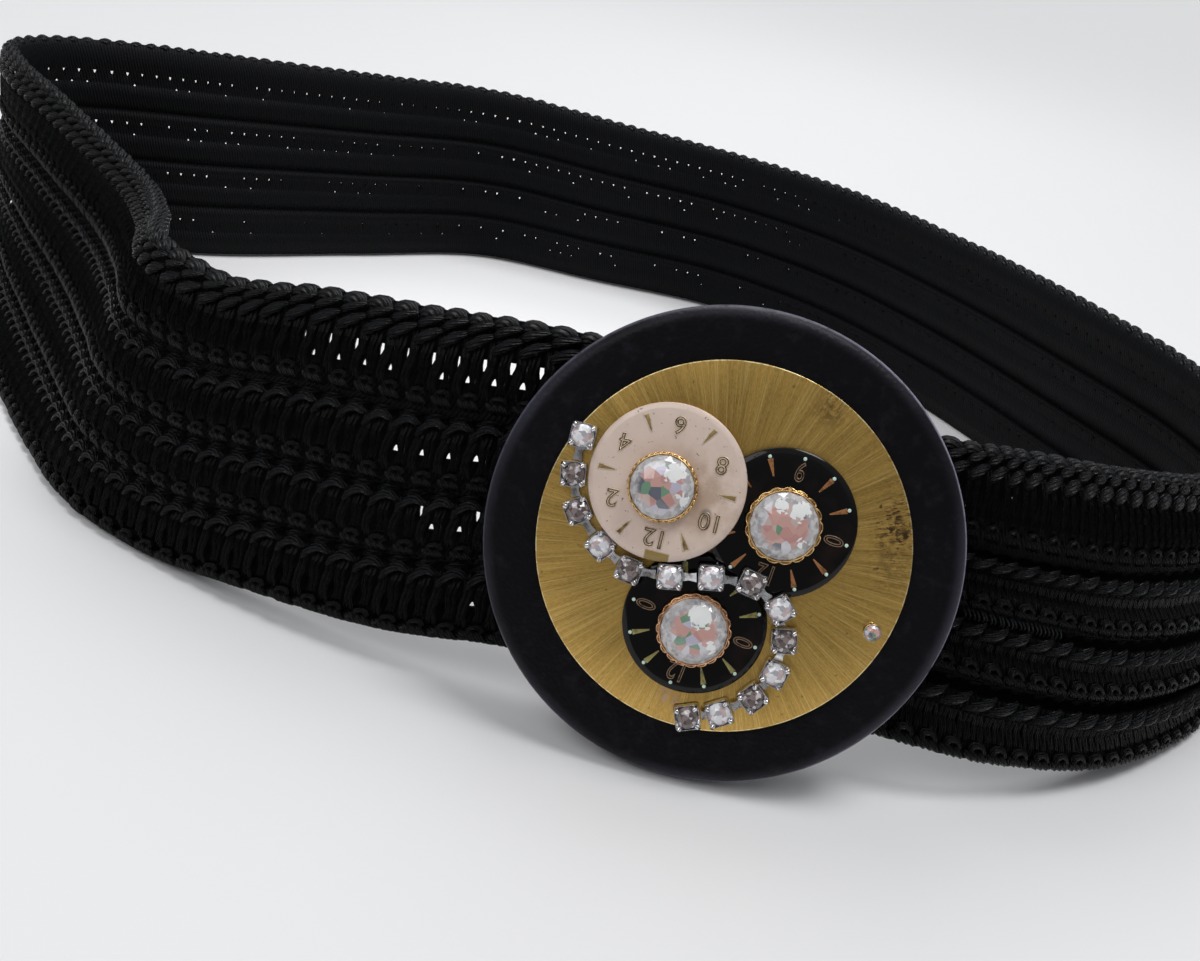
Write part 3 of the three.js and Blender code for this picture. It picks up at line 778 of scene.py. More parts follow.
def sweep(path, across, out, sides, closed=False, front=(0, 0, 1)):
    """An oval cord along a path, as points, faces and strand places (along, around)."""
    path = np.asarray(path, float)
    count = len(path)
    along = np.roll(path, -1, 0) - np.roll(path, 1, 0) if closed else np.gradient(path, axis=0)
    along /= np.linalg.norm(along, axis=1, keepdims=True)
    side = np.cross(along, front)
    side /= np.linalg.norm(side, axis=1, keepdims=True)
    face = np.cross(side, along)
    angle = np.arange(sides) * math.tau / sides
    across = np.broadcast_to(across, count)[:, None, None]
    out = np.broadcast_to(out, count)[:, None, None]
    rings = path[:, None] + across * np.cos(angle)[:, None] * side[:, None]
    rings = rings + out * np.sin(angle)[:, None] * face[:, None]
    length = np.concatenate([[0], np.cumsum(np.linalg.norm(np.diff(path, axis=0), axis=1))])
    strands = np.zeros((count, sides, 3))
    strands[:, :, 0] = length[:, None]
    strands[:, :, 1] = (angle / math.tau)[None]
    points, strands = rings.reshape(-1, 3), strands.reshape(-1, 3)
    if not closed:
        start = path[0] - along[0] * across[0, 0, 0] * 0.3
        end = path[-1] + along[-1] * across[-1, 0, 0] * 0.3
        points = np.vstack([points, [start, end]])
        strands = np.vstack([strands, [[0, 0.25, 0], [length[-1], 0.25, 0]]])
    return points, tube_faces(count, sides, closed), strands


def stacked(outline, rings):
    """An outline at several scales and heights, from below, joined into one closed body."""
    points = [np.column_stack([outline * scale, np.full(len(outline), z)]) for scale, z in rings]
    points += [[[0, 0, rings[0][1]], [0, 0, rings[-1][1]]]]
    faces = tube_faces(len(rings), len(outline))
    return np.vstack(points), [np.roll(corners[:, ::-1], 1, axis=1) for corners in faces]


def lathe(profile, sides):
    """A closed body turned about Z from rows of (radius, height), up the outside from below."""
    angle = np.arange(sides) * math.tau / sides
    return stacked(np.stack([np.cos(angle), np.sin(angle)], 1), profile)


def rounded_disc(radius, thick, back, front, steps, inner_rings):
    """The lathe profile of a disc with its own rounding of each rim, its middle plane at zero."""
    arc = np.linspace(0, math.pi / 2, steps + 1)
    half = thick / 2
    below = [(radius - back * (1 - math.sin(a)), back * (1 - math.cos(a)) - half) for a in arc]
    above = [(radius - front * (1 - math.sin(a)), half - front * (1 - math.cos(a))) for a in arc]
    inner = [(share * (radius - back), -half) for share in inner_rings]
    return inner + below + above[::-1] + [(r, -z) for r, z in reversed(inner)]


def ring_points(radius, height, count, turn=0.0):
    """Points evenly round a circle; turn is a share of one step."""
    angles = (np.arange(count) + turn) * math.tau / count
    return [(radius * math.cos(a), radius * math.sin(a), height) for a in angles]


def hull(points):
    """The convex body round some points, with its flat faces whole."""
    made = bmesh.new()
    for point in points:
        made.verts.new(point)
    bmesh.ops.convex_hull(made, input=made.verts)
    bmesh.ops.dissolve_limit(made, angle_limit=0.01, verts=made.verts, edges=made.edges)
    bmesh.ops.triangulate(made, faces=made.faces)
    bmesh.ops.recalc_face_normals(made, faces=made.faces)
    made.verts.index_update()
    corners = np.array([v.co for v in made.verts])
    faces = np.array([[v.index for v in f.verts] for f in made.faces])
    made.free()
    return corners, [faces]


def faceted(*rings):
    """A cut body round rings of points, each given as (radius, height, count) and a turn."""
    return hull([point for ring in rings for point in ring_points(*ring)])


class Pile:
    """Parts that are joined into one mesh, in millimetres, each with a finish slot."""

    def __init__(self):
        self.points, self.strands, self.faces = [], [], []
        self.count = 0

    def add(self, points, faces, strands=None, slot=0, place=None):
        points = np.asarray(points, float)
        if place is not None:
            matrix = np.array(place)
            points = points @ matrix[:3, :3].T + matrix[:3, 3]
        self.points.append(points)
        self.strands.append(np.zeros_like(points) if strands is None else strands)
        for corners in faces:
            self.faces.append((np.asarray(corners) + self.count, slot))
        self.count += len(points)

    def joined(self):
        return np.vstack(self.points), np.vstack(self.strands)

    def build(self, name, slot, finishes, place=None, smooth=True, sharp=None, stands_for=()):
        """Makes the mesh and its object, which rides on the belt's one body."""
        points, strands = self.joined()
        corners = np.concatenate([faces.ravel() for faces, _ in self.faces])
        sizes = np.concatenate([np.full(len(faces), faces.shape[1]) for faces, _ in self.faces])
        slots = np.concatenate([np.full(len(faces), finish) for faces, finish in self.faces])
        starts = np.concatenate([[0], np.cumsum(sizes)[:-1]])
        mesh = bpy.data.meshes.new(name)
        mesh.vertices.add(len(points))
        mesh.vertices.foreach_set("co", (points * MM).astype(np.float32).ravel())
        mesh.loops.add(len(corners))
        mesh.loops.foreach_set("vertex_index", corners.astype(np.int32))
        mesh.polygons.add(len(sizes))
        mesh.polygons.foreach_set("loop_start", starts.astype(np.int32))
        mesh.polygons.foreach_set("material_index", slots.astype(np.int32))
        mesh.polygons.foreach_set("use_smooth", np.full(len(sizes), smooth))
        mesh.update(calc_edges=True)
        coordinates = mesh.attributes.new("strand", "FLOAT_VECTOR", "POINT")
        coordinates.data.foreach_set("vector", strands.astype(np.float32).ravel())
        if sharp is not None:
            mesh.set_sharp_from_angle(angle=math.radians(sharp))
        for finish in finishes:
            mesh.materials.append(finish)
        piece = bpy.data.objects.new(name, mesh)
        bpy.context.scene.collection.objects.link(piece)
        if place is not None:
            piece.matrix_world = place
        if stands_for:
            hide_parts(*stands_for)
        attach(piece, "root")


# The band


def smooth_rows(rows, steps):
    """The rows of a table, joined by a Catmull-Rom curve."""
    rows = np.asarray(rows, float)
    ends = np.vstack([2 * rows[0] - rows[1], rows, 2 * rows[-1] - rows[-2]])
    t = np.linspace(0, 1, steps, endpoint=False)[:, None]
    spans = []
    for a, b, c, d in zip(ends, ends[1:], ends[2:], ends[3:]):
        bend = 2 * a - 5 * b + 4 * c - d
        spans.append(b + 0.5 * t * (c - a + t * (bend + t * (3 * (b - c) + d - a))))
    return np.vstack([*spans, rows[-1:]])


def medallion_middle():
    """The middle of the medallion's body, in metres."""
    low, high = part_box("leather_disc")
    return (low + high) / 2


def rib_width(rib):
    """A rib's width in millimetres, where the band is plain."""
    return RIBS[rib].plain * PLAIN_WIDTH


class Band:
    """The band's shape: turns a stitch's number, a share of the width and a depth into a point."""

    def __init__(self, look):
        x, y, lift, lean, self.width, gather, bow = smooth_rows(SECTIONS, SPAN_STEPS).T
        middle = medallion_middle() / MM
        self.eye = np.array(CAMERA_PLACE) + (middle.x, middle.y, 0)
        self.foot = np.stack([x + middle.x, y + middle.y, np.maximum(lift, 0)], 1)
        along = np.gradient(np.stack([x, y], 1), axis=0)
        along /= np.linalg.norm(along, axis=1, keepdims=True)
        inside = np.stack([along[:, 1], -along[:, 0], np.zeros(len(x))], 1)
        rise = np.array([0, 0, 1.0])
        tip = np.radians(lean)[:, None]
        self.up = inside * np.sin(tip) + rise * np.cos(tip)
        self.inward = inside * np.cos(tip) - rise * np.sin(tip)
        self.slope = np.tan(np.radians(lean))
        self.gather, self.bow = np.maximum(gather, 0), np.maximum(bow, 0)
        run = np.linalg.norm(np.diff(self.foot, axis=0), axis=1)
        self.reach = np.concatenate([[0], np.cumsum(run)])
        length = self.reach[-1]
        self.drawn = np.interp(length - self.reach, DRAWN_REACH, (1.0, 0.0))
        pitches = (look.front_pitch,) * 2 + (look.back_pitch,) * 2 + (look.right_pitch,)
        steps = run / np.interp(self.reach[1:] / length, PITCH_MARKS, pitches)
        self.stitch = np.concatenate([[0], np.cumsum(steps)])
        self.count = int(self.stitch[-1])
        self.stitch *= self.count / self.stitch[-1]
        self.plain = np.cumsum([0] + [rib.plain for rib in RIBS])
        self.gathered = np.cumsum([0] + [rib.gathered for rib in RIBS])

    def at(self, stitch, values):
        """One of the band's values or directions at a stitch's number."""
        if values.ndim == 1:
            return np.interp(stitch, self.stitch, values)
        return np.stack([np.interp(stitch, self.stitch, column) for column in values.T], -1)

    def place(self, stitch, share, depth):
        """Points in millimetres at a share of the width and a depth behind the outer face."""
        depth = depth - self.at(stitch, self.bow) * 4 * share * (1 - share)
        slope = self.at(stitch, self.slope)
        climb = depth * slope + share * (self.at(stitch, self.width) - depth * slope)
        foot, up, inward = (self.at(stitch, rows) for rows in (self.foot, self.up, self.inward))
        return foot + up * climb[..., None] + inward * depth[..., None]

    def slip(self, stitch, share):
        """How far the photograph's line of sight slips along and up for each millimetre inwards."""
        up, inward = self.at(stitch, self.up), self.at(stitch, self.inward)
        look = self.place(stitch, share, LOOK_DEPTH / 2) - self.eye
        look /= np.linalg.norm(look, axis=-1, keepdims=True)
        square = np.sum(look * inward, -1)
        along, rise = np.sum(look * np.cross(up, inward), -1), np.sum(look * up, -1)
        fade = np.interp(np.abs(square), LOOK_FADE, (0.0, 1.0))
        square = np.where(square < 0, -1.0, 1.0) * np.maximum(np.abs(square), LOOK_FADE[0])
        steepest = (-STEEPEST_LOOK, STEEPEST_LOOK)
        return fade * np.clip(along / square, *steepest), fade * np.clip(rise / square, *steepest)

    def share(self, rib, within, gather):
        """The share of the whole width at a share within a rib."""
        low, high = (
            self.plain[edge] + (self.gathered[edge] - self.plain[edge]) * gather for edge in (rib, rib + 1)
        )
        return low + within * (high - low)

    def face(self, rib, within, stitch, gather):
        """The depth of a rib's surface: round, with grooves beside it, drawn in where gathered."""
        groove = GROOVE_DEPTH + GATHERED_GROOVE * gather
        low = EDGE_DEPTH if rib == 0 else groove
        high = EDGE_DEPTH if rib == TOP_RIB else groove
        within = np.clip(within, 0, 1)
        sides = np.where(within < 0.5, low, high) * np.abs(2 * within - 1) ** 3
        middle = (RIBS[rib].leaf + RIBS[rib].knob) / 2
        hollow = np.cos(np.clip((within - middle) / FLOAT_SPREAD, -1, 1) * math.pi / 2) ** 2
        drawn = self.at(stitch, self.drawn) * DRAWN_RECESS[rib]
        return sides + hollow * (FLOAT_RECESS + drawn + GATHER_DRAW[rib] * gather)

    def lay(self, pile, template, rib, index):
        """Repeats a stitch along a rib. The template is in millimetres: right, up the rib and out."""
        points, strands = template.joined()
        nudge = rng.uniform(-1, 1, (len(index), 1, 3)) * NUDGE
        at = points[None] + nudge
        stitch = index[:, None] + 0.5 - at[..., 0] / NOMINAL_PITCH
        gather = self.at(stitch, self.gather)
        within = at[..., 1] / rib_width(rib)
        depth = self.face(rib, within, stitch, gather) - at[..., 2]
        world = self.place(stitch, self.share(rib, within, gather), depth)
        marked = np.repeat(strands[None], len(index), axis=0)
        marked[..., 2] += rng.uniform(0, 1, (len(index), 1))
        offsets = (np.arange(len(index)) * len(points))[:, None, None]
        faces = [(corners[None] + offsets).reshape(-1, corners.shape[1]) for corners, _ in template.faces]
        pile.add(world.reshape(-1, 3), faces, marked.reshape(-1, 3))


def leaf(template, start, end, width, thick, rings=8, sides=7, fat=0.72, bow=0.0):
    """A plump stitch from its fat left end to its tucked right end; bow bends it upwards."""
    q = np.linspace(0.03, 0.97, rings)[:, None]
    path = np.asarray(start) * (1 - q) + np.asarray(end) * q
    path[:, 1] += bow * np.sin(math.pi * q[:, 0] ** 0.8)
    path[:, 2] += LEAF_ARCH * np.sin(math.pi * q[:, 0])
    full = np.sin(math.pi * q[:, 0] ** fat) ** 0.6
    template.add(*sweep(path, width / 2 * full, thick / 2 * full, sides))


def leaves(template, rows, middle):
    """The leaves of a stitch, from a table, round the middle of their row."""
    for row in rows:
        start, end = ((x * NOMINAL_PITCH, y + middle, z) for x, y, z in (row.start, row.end))
        leaf(template, start, end, row.width, row.thick, row.rings, row.sides, row.fat, row.bow)


def opening(y, centre, way):
    """Half the slit between two bundles, which swells to a small tear round its centre.

    way is 1 where the tear's point is below, and -1 where it is above.
    """
    v = np.clip((y - centre) / HOLE_HALF_HEIGHT, -1, 1)
    return SLIT + HOLE_SWELL * np.sqrt(1 - v * v) * (0.7 + 0.3 * way * v)


def bundle(template, start, end, y, strands, proud):
    """Fine upright strands side by side from start to end at each height; proud lifts their middles."""
    q = (y - y[0]) / (y[-1] - y[0])
    full = np.sin(math.pi * (0.1 + 0.8 * q)) ** 0.35
    for strand in range(strands):
        share = (strand + 0.5) / strands
        sway = 0.1 * np.sin(math.pi * q * 1.5 + strand * 2.1)
        crown = 0.05 + (0.5 + proud) * np.sin(math.pi * q) ** 0.7 - 0.3 * (2 * share - 1) ** 2
        path = np.stack([start + share * (end - start) + sway, y, crown], 1)
        template.add(*sweep(path, (end - start) / strands * 0.54 * full, 0.5 * full, 4))


def knob(template, x, y, size=1.0):
    """A small eyelet with three strands that slant down to the right under it."""
    angle = np.linspace(0, math.tau, 8, endpoint=False)
    ring = np.stack([np.cos(angle), 1.05 + 0.83 * np.sin(angle), 0.85 + 0.2 * np.sin(angle)], 1)
    template.add(*sweep(ring * 0.9 * size + (x, y, 0), 0.40 * size, 0.45 * size, 5, closed=True))
    for shift in (-0.75, 0.15, 1.05):
        start = (x + (shift - 0.9) * size, y + 0.7 * size, 0.75 * size)
        end = (x + (shift + 0.9) * size, y - 1.6, 0.35)
        leaf(template, start, end, 1.05 * size, 1.1 * size, 5, 5)


def rib_stitch(rib, loose=0.0, lift=0.0):
    """One stitch of a rib: arched leaves, two bundles of strands with gaps, and a knob.

    loose narrows both bundles by that much on each side, and lift makes them stand out.
    """
    row, width = RIBS[rib], rib_width(rib)
    template = Pile()
    middle = row.leaf * width
    leaves(template, TOP_LEAVES if rib == TOP_RIB else RIB_LEAVES, middle)
    high, low = row.hole_high * width, row.hole_low * width
    half = HOLE_HALF_HEIGHT
    y = [row.knob * width + 0.9, low - 0.8 * half, low, low + 0.7 * half]
    y += [high - 0.7 * half, high, high + 0.8 * half, middle + 0.2]
    y = np.maximum.accumulate(np.array(y) + np.arange(len(y)) * 0.01)
    upper = opening(y, high, 1) + loose
    lower = opening(y, low, -1) + loose
    between, after = HIGH_HOLE_AT * NOMINAL_PITCH, LOW_HOLE_AT * NOMINAL_PITCH
    before = after - NOMINAL_PITCH
    bundle(template, before + lower, between - upper, y, 2 if loose else 3, lift)
    bundle(template, between + upper, after - lower, y, 2, lift)
    knob(template, KNOB_AT * NOMINAL_PITCH, row.knob * width)
    return template


def drawn_stitch(rib):
    """A stitch where the rib is drawn in: a proud slanted cord, fine upright strands, a big knob."""
    row, width = RIBS[rib], rib_width(rib)
    template = Pile()
    middle = row.leaf * width
    leaves(template, DRAWN_LEAVES, middle)
    y = np.linspace(row.knob * width + 0.6, middle - 0.1, 6)
    for strand in range(DRAWN_STRANDS):
        x = (strand / DRAWN_STRANDS - 0.4) * NOMINAL_PITCH + 0.18 * np.sin(y * 1.3 + strand * 2.0)
        path = np.stack([x, y, np.full(len(y), 0.1 + 0.15 * (strand % 2))], 1)
        template.add(*sweep(path, 0.44, 0.42, 5))
    knob(template, KNOB_AT * NOMINAL_PITCH, row.knob * width, DRAWN_KNOB)
    return template


def edge_lobe(rib):
    """A plump lobe that arches over the upper edge of the top rib, or the lower edge of another."""
    template = Pile()
    q = np.linspace(0.02, 0.98, 11)
    arch = np.sin(math.pi * q**0.8)
    full = np.sin(math.pi * q**0.62) ** 0.55
    if rib == TOP_RIB:
        y, across = rib_width(rib) - 2.1 - 0.7 * q + 1.65 * arch, 1.45
    else:
        y, across = 1.95 - 0.65 * arch, 1.2
    deep = np.full(len(q), EDGE_DEPTH - BAND_THICK / 2)
    path = np.stack([(-0.55 + 1.2 * q) * NOMINAL_PITCH, y, deep], 1)
    template.add(*sweep(path, across * full, 2.2 * full, 9))
    return template


def lining(band, pile, rib, slot):
    """The inner face of a rib, in two thin ridges, with small openings behind the gaps."""
    width = rib_width(rib)
    stitch = (np.arange(band.count)[:, None] + np.array(LINING_COLUMNS)[None]).ravel()
    stitch = np.concatenate([[0], stitch, [band.count]])
    reach = band.at(stitch, band.reach)
    back = np.interp(reach, (BACK_START - BACK_FADE, BACK_START), (0.0, 1.0))
    slip, rise = band.slip(stitch, band.share(rib, 0.5, 0))
    run = np.gradient(reach) / np.gradient(stitch)
    within = lining_rows(rib, rise * LOOK_DEPTH / width, 1 - BACK_SHRINK * back)
    grid = lining_columns(stitch, slip * LOOK_DEPTH / run, back)
    gather = band.at(grid, band.gather)
    inner = LINING_DEPTH + np.array(LINING_STAND)[None] + LINING_GATHER * gather
    share = band.share(rib, within, gather)
    skins = [band.place(grid, share, depth).reshape(-1, 3) for depth in (inner, inner - LINING_THICK)]
    strands = np.stack([grid, within * width / NOMINAL_PITCH, np.zeros_like(within)], -1).reshape(-1, 3)
    faces = lining_faces(lining_cells(band, rib, len(stitch) - 1))
    pile.add(np.vstack(skins), faces, np.vstack([strands, strands]), slot)


def lining_rows(rib, rise, shrink):
    """Shares of a rib at each row of its inner face, for every column, three at each opening."""
    width = rib_width(rib)
    high, low = RIBS[rib].hole_high + rise, RIBS[rib].hole_low + rise
    tall, short = HIGH_HALF_HEIGHT / width * shrink, LOW_HALF_HEIGHT / width * shrink
    foot, top = low - short, high + tall
    rows = [0 * foot, 0.3 * foot, 0.65 * foot, foot, low, low + short, high - tall, high, top]
    rows += [top + 0.45 * (1 - top), top + 0.8 * (1 - top), 0 * top + 1]
    return np.stack(rows, 1)


def lining_columns(stitch, slip, back):
    """The stitch number at each point of the inner face, with the sides of each opening drawn in."""
    grid = np.repeat(stitch[:, None], len(LINING_THICK), axis=1)
    grid[:, LOW_LINES[0]:HIGH_LINES[-1] + 1] += slip[:, None]
    column = (np.arange(len(stitch)) - 1) % len(LINING_COLUMNS)
    column[[0, -1]] = -1
    wide_below = (WIDE_PINCH, MIDDLE_PINCH, POINT_PINCH)
    high, low = (HIGH_LINES, wide_below[::-1]), (LOW_LINES, wide_below)
    for beside, (lines, pinches), way in ((0, high, -1), (3, high, 1), (1, low, 1), (2, low, -1)):
        at = np.flatnonzero(column == beside)
        own = rng.uniform(0, OWN_PINCH, len(at)) + BACK_PINCH * back[at]
        for line, pinch in zip(lines, pinches):
            grid[at, line] += way * (pinch + own)
    return grid


def lining_cells(band, rib, steps):
    """Which cells of the inner face are filled; some stitches lie too close to leave an opening."""
    row = OPEN[rib]
    cell = np.arange(steps) - 1
    kind = cell % len(LINING_COLUMNS)
    number = cell // len(LINING_COLUMNS) + 1
    every = np.arange(band.count + 2)
    reach = band.at(every, band.reach)
    front, back = reach < row.front_reach, reach > BACK_START
    fewer = 1 - DRAWN_SHUT * band.at(every, band.drawn) * (rib < TOP_RIB)
    chance = rng.uniform(0, 1, (2, len(every)))
    high = chance[0] < (row.front_high * front + row.back_high * back) * fewer
    low = chance[1] < (row.front_low * front + row.back_low * back) * fewer
    keep = np.ones((steps, len(LINING_THICK) - 1), bool)
    keep[(kind == 3) & high[number], HIGH_LINES[0]:HIGH_LINES[-1]] = False
    keep[(kind == 1) & low[number], LOW_LINES[0]:LOW_LINES[-1]] = False
    ends = 2 * len(LINING_COLUMNS)
    keep[:ends] = keep[-ends:] = True
    return keep


def lining_faces(keep):
    """The filled cells of the inner and the outer skin, and faces that join their free edges."""
    steps, rows = keep.shape
    count = (steps + 1) * (rows + 1)
    number = np.arange(count).reshape(steps + 1, rows + 1)
    a, b, c, d = number[:-1, :-1], number[1:, :-1], number[1:, 1:], number[:-1, 1:]
    faces = [np.stack([a, b, c, d], -1)[keep], np.stack([a, d, c, b], -1)[keep] + count]
    filled = np.pad(keep, 1)
    sides = (
        (filled[1:-1, :-2], a, b),
        (filled[2:, 1:-1], b, c),
        (filled[1:-1, 2:], c, d),
        (filled[:-2, 1:-1], d, a),
    )
    for beside, start, end in sides:
        faces.append(np.stack([start, start + count, end + count, end], -1)[keep & ~beside])
    return faces


def overcast(band):
    """Fine grey threads sewn over the groove where the gathered ribs meet the medallion."""
    template = Pile()
    low, high = OVERCAST_STITCHES
    for step in range(OVERCAST_COUNT):
        q = np.linspace(0, 1, 7)
        stitch = band.count - high + (high - low) * step / OVERCAST_COUNT + rng.uniform(-0.03, 0.03)
        share = band.share(1, 1.0, band.at(stitch, band.gather))
        reach = OVERCAST_REACH / PLAIN_WIDTH * rng.uniform(0.8, 1.15)
        depth = 0.9 - 0.9 * np.sin(math.pi * q)
        points = band.place(stitch - 0.22 * q, share + reach * (0.5 - q), depth)
        template.add(*sweep(points, 0.15, 0.15, 6, front=-band.at(stitch, band.inward)))
    return template


# The medallion


def shift_by(x, y, z=0.0):
    """A step in millimetres, as a matrix in metres."""
    return Matrix.Translation(Vector((x, y, z)) * MM)


def face_place(x=0.0, y=0.0, z=0.0):
    """The medallion's frame, at a point of it in millimetres, as a matrix in metres."""
    tilt = Matrix.Rotation(math.pi / 2 - MEDALLION_LEAN, 4, "X")
    return Matrix.Translation(medallion_middle()) @ tilt @ shift_by(x, y, z)


def dial_place(name, z, x=0.0, y=0.0):
    """A dial's frame, zero at the middle of its underside, tipped to its bearing."""
    dial = DIALS[name]
    turn, tip = math.radians(dial.bearing), math.radians(dial.tilt)
    axis = Vector((math.sin(turn), -math.cos(turn), 0))
    lift = DECK + GAP + dial.radius * math.sin(tip)
    return face_place(dial.x, dial.y, lift) @ Matrix.Rotation(tip, 4, axis) @ shift_by(x, y, z)


def cup_place(number):
    """A cup's frame on the disc, turned along the chain."""
    cup = CUPS[number]
    before, after = CUPS[max(number - 1, 0)], CUPS[min(number + 1, len(CUPS) - 1)]
    heading = math.atan2(after.y - before.y, after.x - before.x)
    return face_place(cup.x, cup.y, DECK + GAP + cup.level * LEVEL_HEIGHT) @ Matrix.Rotation(heading, 4, "Z")


def build_leather(look):
    pile = Pile()
    rounds = (LEATHER_BACK_ROUND, LEATHER_FRONT_ROUND)
    profile = rounded_disc(LEATHER_RADIUS, LEATHER_THICK, *rounds, 14, (0.3, 0.6, 0.85))
    pile.add(*lathe(profile, DISC_SIDES))
    finish = leather_finish(look.leather)
    pile.build("leather_cover", "leather", [finish], face_place(), stands_for=["leather_disc"])


def build_sunray(look):
    pile = Pile()
    profile = rounded_disc(SUNRAY_RADIUS, SUNRAY_THICK, SUNRAY_ROUND, SUNRAY_ROUND, 3, (0.25, 0.5, 0.75))
    pile.add(*lathe(profile, DISC_SIDES))
    place = face_place(0, SUNRAY_Y, LEATHER_THICK / 2 + GAP + SUNRAY_THICK / 2)
    finish = sunray_finish(look.brass)
    pile.build("sunray_face", "sunray", [finish], place, sharp=35, stands_for=["sunray_disc"])


def dart(pile, slot, angle, outer, size, rise):
    """A tapering mark whose wide end is outwards, with a ridge along it."""
    length, wide, narrow = size
    inner = outer - length
    base = [(wide / 2, outer), (-wide / 2, outer), (-narrow / 2, inner), (narrow / 2, inner)]
    points = [(x, y, 0.0) for x, y in base] + [(x, y, rise * 0.6) for x, y in base]
    points += [(0, outer - wide * 0.3, rise), (0, inner + narrow, rise)]
    pile.add(*hull(points), slot=slot, place=Matrix.Rotation(-angle, 4, "Z"))


def dot(pile, slot, angle, reach):
    """A small raised dot of paint."""
    radius = DOT_RADIUS
    body = faceted((radius, 0.0, 12), (radius * 0.9, radius * 0.35, 12), (radius * 0.5, radius * 0.6, 8))
    place = Matrix.Rotation(-angle, 4, "Z") @ Matrix.Translation((0, reach, 0))
    pile.add(*body, slot=slot, place=place)


def numeral(pile, slot, text, place, size, stretch, wire, lift=0.0):
    """A number drawn as a fine raised outline."""
    curve = bpy.data.curves.new("numeral", "FONT")
    curve.body = text
    curve.size = size
    curve.align_x = "CENTER"
    curve.align_y = "CENTER"
    curve.fill_mode = "NONE"
    curve.bevel_depth = wire
    curve.bevel_resolution = 1
    curve.resolution_u = 4
    holder = bpy.data.objects.new("numeral", curve)
    mesh = holder.to_mesh()
    points = np.array([v.co for v in mesh.vertices]) * (1.0, stretch, 1.0)
    mesh.calc_loop_triangles()
    faces = np.array([t.vertices for t in mesh.loop_triangles])
    holder.to_mesh_clear()
    bpy.data.objects.remove(holder)
    bpy.data.curves.remove(curve)
    points -= (points.max(0) + points.min(0)) / 2
    points[:, 2] += wire * 0.6 + lift
    pile.add(points, [faces], slot=slot, place=place)


def dial_profile(radius):
    """A dial's lathe profile: flat, with a sloping rim that is rounded into its side."""
    top, low = DIAL_THICK / 2, DIAL_THICK / 2 - DIAL_RIM_DROP
    rim = [(radius - DIAL_RIM, top), (radius - DIAL_RIM * 0.85, top - 0.02), (radius - 0.18, low + 0.10)]
    side = [(radius - 0.05, low), (radius, low - 0.12), (radius, -top + 0.08), (radius - 0.08, -top)]
    flat = [(radius * share, top) for share in (0.8, 0.5)]
    return [(radius * 0.5, -top), *reversed(side), *reversed(rim), *flat]


def build_dial(name, slot, texture, node, finish):
    """The body of a dial, as a piece that is named for its node and its finish."""
    pile = Pile()
    pile.add(*lathe(dial_profile(DIALS[name].radius), DIAL_SIDES))
    place = dial_place(name, DIAL_THICK / 2)
    pile.build(f"{node}_{texture}", slot, [finish], place, sharp=50, stands_for=[node])


def build_black_dial(name, look, marks):
    """A glossy black dial with darts, dots and four numbers."""
    build_dial(name, "black_dial", "enamel", f"black_dial_{name}", black_dial_finish(look.black_dial))
    radius, pile = DIALS[name].radius, Pile()
    for hour in range(12):
        angle = math.radians(DIALS[name].turn + 30 * hour)
        dot(pile, 1, angle, radius * DOT_AT)
        if hour in BLACK_NUMBERS:
            spot = Matrix.Rotation(-angle, 4, "Z") @ Matrix.Translation((0, radius * BLACK_NUMBER_AT, 0))
            shape = (BLACK_NUMBER_SIZE, BLACK_NUMBER_STRETCH, BLACK_NUMBER_WIRE)
            numeral(pile, 2, BLACK_NUMBERS[hour], spot, *shape)
        else:
            dart(pile, 0, angle, radius * BLACK_DART_AT, BLACK_DART, DART_RISE)
    pile.build(f"dial_marks_{name}", "black_dial", marks, dial_place(name, DIAL_THICK), sharp=40)


def build_white_dial(look, marks):
    """The satin white dial with darts at the odd hours and numbers at the even ones."""
    build_dial("white", "white_dial", "satin", "white_dial", white_dial_finish(look.white_dial))
    radius, turn, pile = DIALS["white"].radius, DIALS["white"].turn, Pile()
    for hour in range(12):
        angle = math.radians(turn + 30 * hour)
        if hour % 2:
            outer = radius * WHITE_DART_AT
            dart(pile, 2, angle, outer + BORDER_OVER, WHITE_DART_BORDER, BORDER_RISE)
            dart(pile, 0, angle, outer, WHITE_DART, DART_RISE)
        else:
            reach = radius * WHITE_NUMBER_AT
            spot = Matrix.Translation((reach * math.sin(angle), reach * math.cos(angle), 0))
            spot = spot @ Matrix.Rotation(-math.radians(turn), 4, "Z")
            for slot, wire, lift in WHITE_NUMBER_WIRES:
                numeral(pile, slot, str(hour or 12), spot, WHITE_NUMBER_SIZE, 1.0, wire, lift)
    pile.build("dial_marks_white", "white_dial", marks, dial_place("white", DIAL_THICK), sharp=40)


def build_stone(stone, finish):
    """A large foiled stone: a table, a ring of kites and a ring of girdle facets."""
    radius, girdle, crown = stone.radius, STONE_GIRDLE, STONE_CROWN
    body = faceted(
        (radius, 0.0, 16),
        (radius, girdle, 16),
        (radius * 0.83, girdle + crown * 0.58, 16, 0.5),
        (STONE_TABLE * 1.32, girdle + crown * 0.88, 8, 0.25),
        (STONE_TABLE * 0.8, girdle + crown, 8, 0.75),
    )
    pile = Pile()
    pile.add(*body, place=Matrix.Rotation(math.radians(stone.turn), 4, "Z"))
    place = dial_place(stone.dial, DIAL_THICK + GAP + SETTING_FLOOR + GAP, stone.x, stone.y)
    node = f"stone_{stone.dial}"
    pile.build(f"{node}_cut", "stone", [finish], place, smooth=False, stands_for=[node])


